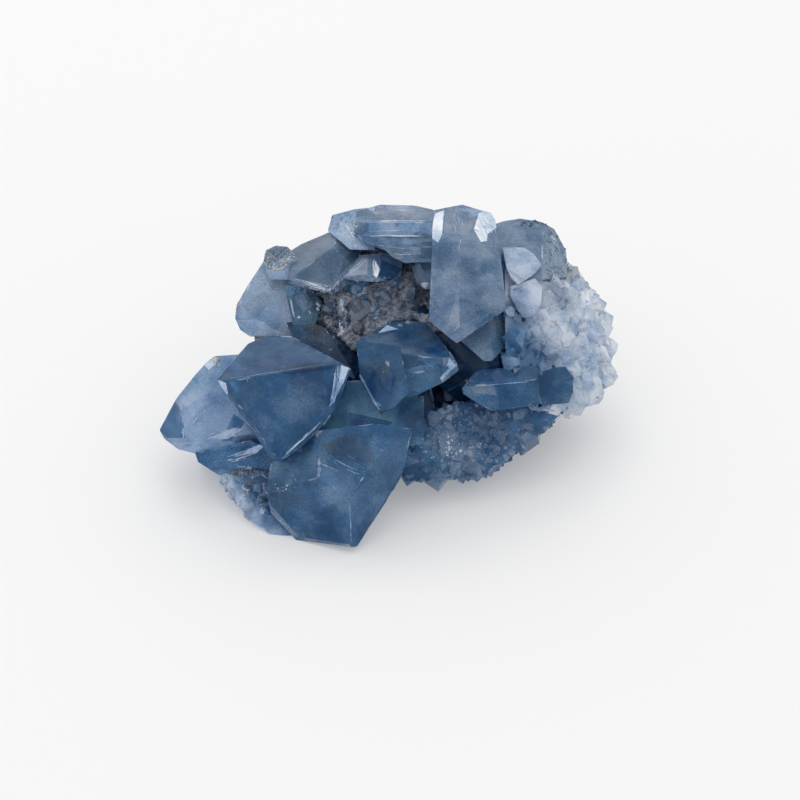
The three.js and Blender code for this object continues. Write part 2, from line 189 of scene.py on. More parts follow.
# The rock, the same way
ROCK_DARK = (0.065, 0.072, 0.092, 1)
ROCK_LIGHT = (0.285, 0.305, 0.36, 1)
ROCK_SPAN = (0.35, 0.65)
ROCK_GLINT = (0.40, 0.45, 0.55, 1)
GLINT_SPAN = (0.45, 0.75)
GLINT_SHARE = (0, 0.7)
ROCK_ROUGH_SPAN = (0.3, 0.7)
ROCK_ROUGHNESS = (0.9, 0.45)
ROCK_BUMP = 0.8
ROCK_FINE_SHARE = 0.5
ROCK_RELIEF = 0.5 * MM

# Colours of the haze in the crystals, as linear red, green and blue; navy and dark also serve as painted
# shade in the cavity and the recess, snow and white as painted glints
HAZES = {
    "navy": (0.012, 0.050, 0.120),
    "dark": (0.035, 0.120, 0.260),
    "deep": (0.065, 0.200, 0.410),
    "blue": (0.110, 0.260, 0.470),
    "teal": (0.135, 0.275, 0.430),
    "slate": (0.120, 0.200, 0.300),
    "azure": (0.260, 0.540, 0.760),
    "ice": (0.400, 0.760, 0.880),
    "grey": (0.240, 0.340, 0.470),
    "pale": (0.300, 0.430, 0.620),
    "lilac": (0.420, 0.555, 0.740),
    "mist": (0.580, 0.680, 0.850),
    "frost": (0.730, 0.795, 0.945),
    "white": (0.900, 0.930, 0.990),
    "snow": (0.960, 0.975, 1.000),
    "brown": (0.115, 0.112, 0.125),
    "ash": (0.190, 0.215, 0.270),
    "stone": (0.280, 0.305, 0.365),
    "cream": (0.760, 0.720, 0.600),
}

# Grains strewn on what shows there: the middle of the patch (across, up), how far it reaches that way, how
# many grains, the smallest and largest in millimetres, and their hazes. The snow-white and white grains stand
# for glints: painted highlights of light caught on small faces.
GRIT_AND_GLINTS = [
    ((-5.6, 19.4), (11.6, 5.4), 1300, (0.06, 0.26), ("ash", "stone", "brown", "slate", "grey", "ash")),
    ((-5, 20), (10, 4.6), 60, (0.4, 1.1), ("ash", "stone", "grey", "slate")),
    ((-14.5, 17), (4.6, 5), 340, (0.06, 0.26), ("brown", "ash", "slate", "brown")),
    ((-15.4, 13.4), (4, 4), 320, (0.06, 0.26), ("brown", "slate", "ash", "dark")),
    ((-8.4, 18.2), (0.2, 0.2), 1, (2.9, 3.0), ("ash",)),
    ((-7.6, 14.6), (0.2, 0.2), 1, (1.8, 1.9), ("brown",)),
    ((-3.2, 20.4), (0.2, 0.2), 1, (2.1, 2.2), ("stone",)),
    ((-5.2, 17.6), (0.2, 0.2), 1, (1.3, 1.4), ("grey",)),
    ((-14, 17.8), (0.2, 0.2), 1, (1.8, 1.9), ("ash",)),
    ((2, 22), (0.2, 0.2), 1, (1.7, 1.8), ("stone",)),
    ((5, 21.6), (0.2, 0.2), 1, (1.3, 1.4), ("stone",)),
    ((2.2, 18.8), (0.2, 0.2), 1, (1.5, 1.6), ("ash",)),
    ((4.8, 17.8), (0.2, 0.2), 1, (1.4, 1.5), ("navy",)),
    ((-7.8, 23.4), (0.6, 0.2), 2, (1.8, 2.2), ("slate", "blue")),
    ((-9.4, 22.6), (1.6, 0.4), 4, (0.9, 1.6), ("grey", "slate")),
    ((0.6, 15.6), (2.2, 0.7), 5, (0.8, 1.5), ("ash", "grey", "stone")),
    ((-1.6, 24), (0.6, 0.2), 2, (1.4, 1.8), ("slate",)),
    # A painted glint in the dark cavity
    ((9.3, 1.2), (0.1, 0.1), 1, (1.9, 2), ("snow",)),
    ((22.2, 17.8), (0.1, 0.1), 1, (1.6, 1.7), ("frost",)),
    # Painted glints on the rock
    ((-11.4, 19), (0.4, 1.0), 20, (0.4, 0.95), ("snow", "snow", "frost")),
    ((-11.8, 14.6), (0.4, 1.8), 18, (0.2, 0.6), ("snow", "frost")),
    ((-10.2, 17), (0.3, 2.6), 16, (0.4, 0.9), ("navy",)),
    ((-12.8, 17), (0.3, 3), 14, (0.3, 0.8), ("navy", "dark")),
    ((-16.3, 18.6), (0.3, 0.5), 5, (0.4, 0.6), ("white", "frost")),
    ((-20.2, 16.4), (0.2, 0.2), 3, (0.3, 0.4), ("white",)),
    ((-4.8, 17.9), (0.7, 0.5), 9, (0.4, 0.9), ("snow", "frost")),
    ((4.8, 23), (0.5, 0.3), 5, (0.4, 0.8), ("snow",)),
    ((0.4, 21.6), (4, 3), 24, (0.08, 0.22), ("white", "frost")),
    ((-6, 19), (8, 4), 30, (0.07, 0.18), ("white", "cream", "frost")),
    ((6.6, 19.4), (0.4, 2.4), 16, (0.1, 0.3), ("cream", "stone")),
    ((-24.4, 28.6), (3.2, 2.8), 640, (0.07, 0.36), ("stone", "mist", "cream", "grey", "frost", "cream")),
    ((32, 30), (3.2, 5.6), 300, (0.08, 0.4), ("pale", "grey", "lilac", "stone", "pale", "mist")),
    ((28, 35.4), (4.4, 0.7), 140, (0.08, 0.4), ("stone", "cream", "grey", "brown")),
    ((38, 22), (2.4, 4), 120, (0.08, 0.35), ("mist", "frost", "white")),
    ((30.5, 26), (2, 2.4), 60, (0.08, 0.35), ("grey", "pale", "stone")),
    ((-2, 29.2), (8, 0.4), 70, (0.06, 0.18), ("brown", "stone", "cream")),
    ((-17, 22.2), (5, 0.8), 200, (0.08, 0.35), ("lilac", "mist", "brown", "grey")),
    ((-31.4, -14.4), (3.6, 0.8), 260, (0.06, 0.3), ("brown", "ash", "brown", "stone")),
    ((-30, -20), (4, 4), 60, (0.07, 0.25), ("frost", "lilac", "ash", "mist")),
    ((-31, -18.2), (0.8, 1.2), 12, (0.2, 0.5), ("frost", "white")),
    ((-24, -17), (5, 2.4), 14, (0.08, 0.22), ("white",)),
    ((-11.4, 35), (3, 2.6), 240, (0.06, 0.26), ("lilac", "mist", "grey", "cream", "frost")),
    ((-36.6, 7.6), (0.8, 0.8), 18, (0.2, 0.45), ("cream",)),
    ((-32.6, 21), (0.5, 3.4), 60, (0.08, 0.25), ("cream", "mist")),
    # Painted glints on the druse
    ((37.4, 11), (4.6, 9), 70, (0.06, 0.18), ("white",)),
    ((13, -8), (10, 5), 130, (0.06, 0.2), ("white", "frost")),
    ((10.4, -9.4), (2, 2.4), 30, (0.1, 0.4), ("frost", "mist", "white")),
    ((41, 10), (1.6, 11), 110, (0.08, 0.3), ("cream", "frost", "white")),
    ((30, -1.4), (5, 1), 40, (0.08, 0.3), ("pale", "lilac", "grey")),
]

# Finishes of the crystal: share of light let through, what it swallows per metre, and the surface
CLEAR = {
    "sheen": (0.22, 0.35, 0.54, 1), "transmission": 0.6, "absorption": (0.3, 0.55, 0.8, 1), "density": 35,
    "rough": (0.02, 0.12), "bump": 0.1, "wisps": 0.9, "clouds_and_painted_light": True,
}
MILKY = {
    "sheen": (0.75, 0.83, 0.95, 1), "transmission": 0.3, "absorption": (0.4, 0.6, 0.85, 1), "density": 25,
    "rough": (0.05, 0.25), "bump": 0.2, "wisps": 0.6, "clouds_and_painted_light": True,
}
GRITTY = {
    "sheen": (0.7, 0.75, 0.85, 1), "transmission": 0.3, "absorption": (0.5, 0.6, 0.7, 1), "density": 60,
    "rough": (0.08, 0.35), "bump": 0.3, "wisps": 0.2, "clouds_and_painted_light": False,
}
BROKEN = {
    "sheen": (0.7, 0.8, 0.95, 1), "transmission": 0.1, "absorption": (0.7, 0.8, 0.9, 1), "density": 20,
    "rough": (0.1, 0.4), "bump": 0.3, "wisps": 0.0, "clouds_and_painted_light": False,
}

# Flat patches of another haze on the large crystals: some are a tone of the crystal itself, others are
# painted shade and painted reflection that stand for faces inside it seen through the front. The crystal, the
# haze, and the corners (across, up) of a convex patch as the eye sees it.
TONE_AND_PAINTED_LIGHT_PATCHES = [
    ("back_left", "grey", [(-31.6, 18.8), (-27.2, 21.8), (-25.6, 19.8), (-28.8, 16.2)]),
    ("back_left", "mist", [(-32.8, 15.8), (-28.8, 16.2), (-24, 13.5), (-30, 12.6)]),
    ("tall_pale", "mist", [(11.8, 23.4), (9.6, 15), (11.8, 13.8)]),
    ("tall_pale", "pale", [(12, 20.6), (15.2, 19.4), (17.2, 17), (12, 15)]),
    ("tall_pale", "mist", [(9.4, 39.4), (13.6, 40), (15.6, 37.6), (13.4, 33), (8.8, 33.4)]),
    ("right_centre", "pale", [(13.4, 2.7), (18.8, 3.1), (19.4, 0.9), (15, 1.4)]),
    ("right_centre", "deep", [(19.4, 6.8), (27.6, 6.8), (27.6, -1.2), (19.8, -1.6)]),
    ("big_left", "dark", [(-25.8, 5.8), (-20.6, 7.3), (-12.6, 7.6), (-13.4, 6.2), (-22, 5)]),
    ("big_left", "blue", [(-36, 3.2), (-29.6, 5), (-27, 1.2), (-30.8, -2.2), (-33.8, -0.4)]),
    ("big_left", "blue", [(-33, 11), (-29.6, 9.6), (-29.2, 5.4), (-36, 3.8)]),
    ("outer_left", "deep", [(-48.6, -5.6), (-45, -0.2), (-43.6, -2.2), (-43, -7.6), (-46.6, -7.6)]),
    ("outer_left", "mist", [(-46.6, -8.6), (-40, -8.4), (-40, -11.2), (-45, -10.6)]),
    ("outer_left", "deep", [(-34.8, -6), (-33.2, -2.8), (-31, -4.4), (-33.6, -8.2), (-35.8, -8.2)]),
    ("left_foot", "deep", [(-34, -9.6), (-28.4, -8.6), (-27.4, -11), (-33, -12.4)]),
    ("big_bottom", "teal", [(-26.6, -18.6), (-17.2, -15.6), (-16.4, -10), (-20, -9.6), (-26, -13)]),
    ("big_bottom", "teal",
     [(-16, -8.6), (-9.8, -6.6), (-5.2, -8.4), (-4.6, -13.6), (-8.4, -17.6), (-16.2, -12.8)]),
    ("big_bottom", "slate",
     [(-15.8, -8.8), (-9.8, -6.8), (-5.4, -9.4), (-5, -12.6), (-11.8, -12), (-14, -11)]),
    ("big_bottom", "deep", [(-9.6, -15), (-5, -13.8), (-4.8, -15), (-8.6, -17.6)]),
    ("big_bottom", "blue", [(-5, -8.6), (2, -4.6), (2.4, -7), (-4.4, -13.4)]),
    ("big_bottom", "mist", [(-26.8, -21.4), (-25.4, -21.4), (-20.4, -27.3), (-20.8, -28.8)]),
    ("big_bottom", "mist", [(-20.9, -28.8), (-20.4, -27.4), (-10, -28.9), (-9.4, -30.4)]),
    ("big_bottom", "dark", [(-7.6, -30), (-8.6, -29), (0.6, -14.4), (2, -16)]),
    ("teal_step", "deep", [(-10.3, -2.4), (-1.4, -4.4), (-5.4, -7.8), (-9.8, -6.6)]),
    ("centre", "dark", [(-3.6, 9.6), (3.2, 8.6), (5.8, 6.8), (-1, 6.2)]),
    ("centre", "blue", [(-1, 5.8), (6, 7), (8.4, 6.4), (8.6, 3.4), (3.6, 1.6), (0.4, 2.4)]),
    ("centre", "slate", [(-8.4, 10.8), (-3.8, 9.4), (-1.8, 5), (-5.6, 3.2), (-7.6, 5)]),
    ("centre", "pale", [(8.6, 8.4), (10.6, 8.6), (11.8, 6), (8.4, 3.4)]),
    ("centre_tip", "blue", [(-8.6, 4.8), (-7.4, 4.4), (-4.4, -1.8), (-5.6, -0.6)]),
    ("upper_left_slab", "slate", [(-8.4, 30.4), (-11.2, 28.4), (-12.2, 24.8), (-8, 29)]),
    ("upper_left_slab", "mist", [(-22.2, 23.4), (-20.8, 24.3), (-14, 22.9), (-13.6, 21.2)]),
    ("bright_wedge", "frost", [(-11.2, 24.6), (-7.6, 28.4), (-6.4, 28.4), (-6.6, 25.2)]),
    ("bright_wedge", "frost", [(-5.4, 28.2), (-3.8, 26.2), (-4.6, 24.4), (-5.6, 24.4)]),
    ("bright_wedge", "deep", [(-3.6, 28), (0.4, 26.2), (-1.4, 23.8), (-4.4, 24.4)]),
    ("pale_foot", "pale", [(17.6, 16), (21.4, 14.4), (20.6, 10.2), (18.6, 8.4)]),
    ("back_knob", "pale", [(-27.8, 26), (-19, 26.4), (-19, 23.4), (-27.8, 23.4)]),
    ("recess_foot", "brown", [(-20, 16), (-15, 15.6), (-15, 11.4), (-18, 12)]),
    ("recess_foot", "dark", [(-22.8, 13.8), (-20, 16), (-17.4, 12.4), (-18.4, 10.4)]),
    ("recess_left", "pale", [(-21.4, 20.6), (-19, 22), (-17, 19), (-19.4, 17.6)]),
    ("upper_right_wall", "grey", [(28.6, 35.8), (34, 30), (34, 24), (28.8, 26)]),
]

# Broken white places on the large crystals, partly their own whiteness; the snow-white ones are painted
# highlights and glints.
# The crystal, the haze, and the corners of a convex patch as above.
BROKEN_PLACES_AND_GLINTS = [
    # Painted highlights: snow-white glints on the upturned broken top of tall_pale
    ("tall_pale", "snow", [(15.8, 37.4), (18, 38.3), (19.4, 37.4), (19.6, 34.6), (17.4, 33.2), (14.8, 34.2)]),
    ("tall_pale", "snow", [(14.8, 34), (17.5, 33.4), (17.4, 31.8), (16.2, 31.6)]),
    ("tall_pale", "white", [(7, 37.2), (8.8, 38), (8.4, 33), (6.8, 30), (5.9, 33)]),
    # A painted glint in the dark cavity
    ("cavity_floor", "snow", [(8.6, 1.9), (10, 1.6), (9.6, 0.6)]),
    ("left_foot", "lilac", [(-32, -11), (-27.2, -8.3), (-26.8, -8.9), (-28.6, -10.5)]),
    ("outer_left", "mist", [(-38.6, -7.6), (-33, -5.6), (-31.4, -5.8), (-34.6, -7.9)]),
    ("outer_left", "frost", [(-39.4, 7.2), (-36.8, 8.6), (-36.6, 7.4), (-38.2, 6)]),
    ("big_left", "lilac", [(-11.8, 7), (-10.2, 6.4), (-11.4, 3.2), (-12.3, 3.4)]),
    ("big_left", "pale", [(-12.3, 3.6), (-11.4, 3.4), (-13.4, -0.6), (-14.2, -1.4)]),
    ("big_left", "mist", [(-36.4, 4), (-35, 0.6), (-34.4, 1.4), (-34.8, 3.4)]),
    ("centre_tip", "pale", [(-8.2, 5), (-7.8, 5), (-4, -2), (-4.8, -1.6)]),
    ("centre", "lilac", [(9.8, 8.4), (11.2, 6.8), (10.2, 5.8), (9.4, 7)]),
    ("centre", "lilac", [(10.2, 6), (8.4, 3.8), (8, 4.4), (9.6, 6.2)]),
    ("upper_right", "frost", [(21.7, 25.8), (24.2, 23.5), (23.6, 23.1), (22.1, 24.6)]),
    ("centre", "frost", [(-4.4, 13.4), (-2.6, 15), (-0.4, 14.2)]),
    # A painted highlight on the bright wedge
    ("bright_wedge", "snow", [(-5, 28), (-4, 26), (-4.6, 24.6), (-5.2, 24.8)]),
]

# Clouds in the large crystals, with soft painted shade and painted light among them: darker in the crystals
# deep in the cavity and at the right end of the teal step, lighter where the teal step lies in the shade of
# big_left. The crystal, the middle (across, up), how far it reaches in millimetres, its haze, and how much of
# it there is.
CLOUDS_AND_PAINTED_LIGHT = [
    ("big_left", (-20, 0), 5, "pale", 0.55),
    ("big_left", (-28, -5), 4, "pale", 0.4),
    ("big_left", (-22, 9.8), 5, "deep", 0.7),
    ("big_left", (-14.6, 8.6), 3.5, "dark", 0.6),
    ("big_left", (-26.4, 7.4), 2.4, "pale", 0.45),
    ("big_left", (-28, 11), 3, "dark", 0.6),
    ("big_left", (-18.6, -8), 4, "dark", 0.75),
    ("big_left", (-13, 2), 3.5, "dark", 0.55),
    ("big_left", (-26, 2), 3, "dark", 0.4),
    ("outer_left", (-41.4, -2), 3.6, "frost", 0.6),
    ("outer_left", (-36, 2), 4, "blue", 0.5),
    ("outer_left", (-36, -5), 3, "frost", 0.3),
    ("big_bottom", (-13, -18.6), 5, "pale", 0.6),
    ("big_bottom", (-15, -26), 6, "dark", 0.7),
    ("big_bottom", (-23, -20.5), 3.5, "slate", 0.7),
    ("big_bottom", (-1, -9), 5, "deep", 0.4),
    ("big_bottom", (-5, -22), 4, "pale", 0.3),
    ("big_bottom", (-7, -27), 4, "dark", 0.7),
    ("big_bottom", (-11, -15), 3, "blue", 0.6),
    # Painted light on the teal step where big_left shades it, and painted shade at its right end by the
    # cavity
    ("teal_step", (-13.5, -4), 5, "ice", 0.9),
    ("teal_step", (4.6, -3), 6, "dark", 0.95),
    ("teal_step", (-5, -6.4), 3, "deep", 0.6),
    ("tall_pale", (16, 17), 4, "blue", 0.6),
    ("tall_pale", (10, 22), 3.5, "lilac", 0.35),
    ("tall_pale", (17, 30), 4, "lilac", 0.3),
    ("tall_pale", (13, 26), 4, "slate", 0.4),
    ("tall_pale", (8, 28), 3, "grey", 0.4),
    ("back_left", (-30, 14), 3, "lilac", 0.5),
    ("back_left", (-26, 23), 5, "stone", 0.35),
    ("back_left", (-28, 17.4), 2.5, "blue", 0.35),
    ("upper_left_slab", (-19, 29), 4, "grey", 0.6),
    ("centre", (5, 13.4), 4.5, "slate", 0.7),
    ("centre", (-3, 13.4), 4, "grey", 0.6),
    ("centre", (-1, 10.6), 2.5, "pale", 0.5),
    ("centre", (-5.6, 7.4), 3, "slate", 0.5),
    ("centre", (4, 4), 3, "deep", 0.4),
    ("centre_tip", (-2.6, -0.6), 2.5, "blue", 0.7),
    ("right_centre", (20.5, 5.6), 3.5, "deep", 0.7),
    ("right_centre", (15, 2.4), 2.5, "pale", 0.4),
    ("right_small", (30.5, 3), 4, "deep", 0.8),
    ("upper_left_slab", (-14, 32), 4, "lilac", 0.55),
    ("upper_left_slab", (-18, 27), 4, "slate", 0.4),
    ("top_slab", (0, 37.8), 6, "frost", 0.8),
    ("top_slab", (-5.6, 34.4), 3, "blue", 0.5),
    ("pale_foot", (16, 12), 5, "azure", 0.5),
    # Painted shade in the crystals deep in the cavity
    ("cavity_right", (13, 8), 5, "dark", 0.3),
    ("cavity_floor", (6, 0), 5, "dark", 0.5),
    ("right_bed", (22.8, 12), 10, "blue", 1.0),
    ("right_bed", (25.6, 8.4), 8, "deep", 1.0),
    ("right_bed", (21.4, 17), 5, "grey", 0.8),
    ("right_bed", (31.6, 21), 6, "grey", 0.75),
    ("right_bed", (33.4, 25), 6, "stone", 0.8),
    ("right_bed", (27, -1), 4.5, "blue", 1.0),
    ("right_bed", (27.4, 2), 4, "deep", 0.9),
    ("right_bed", (33, -1.4), 4, "pale", 0.8),
    ("right_bed", (36, 10.6), 3, "lilac", 0.4),
    ("lower_right_bed", (11, -8.6), 6, "lilac", 0.6),
    ("lower_right_bed", (19, -5), 5, "grey", 0.5),
    ("lower_right_bed", (4, -13), 5, "deep", 0.5),
    ("lower_right_bed", (26, -3), 4, "deep", 0.6),
    ("left_fringe", (-35, -17), 3.4, "mist", 0.95),
    ("left_fringe", (-32.6, -20.6), 3.2, "mist", 0.95),
    ("left_fringe", (-30, -24), 3, "lilac", 0.95),
    ("left_fringe", (-26, -27), 3, "lilac", 0.95),
    ("left_fringe", (-21, -28), 3, "lilac", 0.95),
    ("left_fringe", (-30.6, -17.4), 2, "ash", 0.6),
    ("recess_foot", (-15, 11.6), 3, "slate", 0.7),
]

# Bundles of cracks that catch the light, pale partly from their own whiteness and partly from painted
# reflection: the crystal, the ends of the bundle (across, up), how wide it spreads and how thick its cracks
# are in millimetres, and how many are tried.
FRACTURES = [
    ("outer_left", (-41.6, -5), (-38.6, -0.6), 2.4, 0.11, 40),
    ("outer_left", (-43.2, -7.6), (-43.8, -1.8), 0.6, 0.08, 8),
    ("outer_left", (-40, -8.2), (-31.4, -5.4), 1.2, 0.13, 34),
    ("outer_left", (-39.6, 6), (-36.4, 7.8), 0.9, 0.12, 10),
    ("outer_left", (-46, -9), (-41.4, -9.2), 0.9, 0.12, 14),
    ("left_foot", (-34.8, -12), (-27.8, -9.6), 1.4, 0.15, 40),
    ("left_foot", (-38.6, -13.4), (-35, -11.6), 1.0, 0.10, 8),
    ("big_left", (-36.2, 3.2), (-35, 0.8), 0.5, 0.14, 7),
    ("big_left", (-33.6, -1.4), (-27.6, -8.2), 0.6, 0.09, 18),
    ("big_left", (-12.2, 7.4), (-13.6, -1), 0.9, 0.16, 34),
    ("big_left", (-14.8, -3.4), (-23.4, -11.4), 0.4, 0.12, 20),
    ("big_left", (-35.4, 4), (-11.6, 7.8), 0.2, 0.05, 6),
    ("big_left", (-31, 6.6), (-30.2, 2.6), 0.3, 0.06, 3),
    ("big_bottom", (-16.4, -12.6), (-11.2, -15), 0.5, 0.07, 8),
    ("big_bottom", (-14.6, -10), (-7, -14.6), 2.4, 0.07, 16),
    ("big_bottom", (-26, -18), (-22.4, -17.8), 0.7, 0.12, 9),
    ("big_bottom", (-25.8, -21.8), (-20.8, -27.6), 0.4, 0.12, 12),
    ("big_bottom", (-10, -19.6), (-9.8, -28.8), 0.15, 0.05, 7),
    ("teal_step", (-7.4, -3.6), (-6, -4.6), 0.2, 0.12, 3),
    ("centre", (-3.6, 5.4), (-2.6, 6.2), 0.4, 0.08, 4),
    ("centre", (10.4, 8.2), (9, 3.8), 0.9, 0.12, 18),
    ("centre", (-8.2, 5), (-4.2, -2.2), 0.3, 0.10, 12),
    ("centre", (2.6, 6.6), (8.6, 7.6), 0.6, 0.05, 8),
    ("centre_tip", (-5.6, -0.2), (-3, -1.4), 0.5, 0.08, 7),
    ("back_left", (-32.8, 17.4), (-29.8, 24), 0.5, 0.12, 14),
    ("back_left", (-28.4, 25), (-25, 20), 1.2, 0.07, 8),
    ("upper_left_slab", (-14.6, 26.6), (-18.4, 31.6), 0.7, 0.08, 5),
    ("upper_left_slab", (-20.6, 24), (-13.8, 21.7), 0.5, 0.13, 20),
    ("upper_left_slab", (-13.6, 22), (-11, 24.8), 0.5, 0.12, 10),
    ("bright_wedge", (-5, 28.6), (-4.8, 24.4), 0.9, 0.14, 12),
    ("bright_wedge", (-10.2, 25), (-6, 28.4), 1.4, 0.10, 12),
    ("top_left_rough", (-12.6, 36.4), (-9, 32), 2.0, 0.14, 30),
    ("top_slab", (-5.4, 38.8), (6.4, 38), 0.8, 0.12, 24),
    ("top_slab", (-8.4, 35.6), (6.8, 35.6), 0.4, 0.10, 18),
    ("top_slab", (-8, 33.8), (6.4, 34), 0.3, 0.08, 14),
    ("middle_slab", (-7.8, 32.8), (6.2, 32.8), 0.25, 0.12, 18),
    ("middle_slab", (-5, 31), (5.6, 30), 0.5, 0.07, 10),
    ("lower_slab", (-1, 29.2), (6, 29.4), 0.4, 0.10, 10),
    ("tall_pale", (15.8, 36.6), (18.4, 33), 3.0, 0.16, 90),
    ("tall_pale", (6.6, 31.6), (8.8, 38.4), 1.2, 0.12, 40),
    ("tall_pale", (10.6, 38.6), (14.6, 36.4), 0.9, 0.08, 14),
    ("tall_pale", (11, 39), (12, 33.6), 1.8, 0.06, 26),
    ("tall_pale", (12, 32.4), (12.2, 31), 0.2, 0.12, 3),
    ("tall_pale", (6, 27), (6, 17), 0.3, 0.09, 10),
    ("pale_foot", (12.2, 12.6), (17.2, 16.2), 0.4, 0.11, 12),
    ("right_centre", (13, 2.6), (27, 3.8), 0.2, 0.07, 9),
    ("right_centre", (12.6, 1.2), (15.2, -0.6), 0.3, 0.10, 6),
    ("recess_left", (-20.4, 20.6), (-17.2, 18.4), 0.8, 0.08, 8),
    ("recess_left", (-22.2, 21), (-21, 16), 0.4, 0.10, 7),
    ("recess_right", (3.6, 28), (5, 24), 0.5, 0.10, 8),
    ("cavity_floor", (8.6, 2.2), (9.8, 0.8), 0.3, 0.16, 4),
    ("upper_right", (21.4, 24.6), (23.8, 23.2), 1.0, 0.14, 16),
    ("upper_right", (20.6, 30), (26.6, 29), 0.4, 0.09, 8),
    ("right_whitish", (22.4, 21), (26.6, 22.6), 1.8, 0.12, 30),
    ("upper_right_wall", (22, 35.6), (30, 34.6), 0.7, 0.14, 22),
    ("upper_right_wall", (28.6, 34), (32.6, 29), 1.8, 0.16, 34),
]
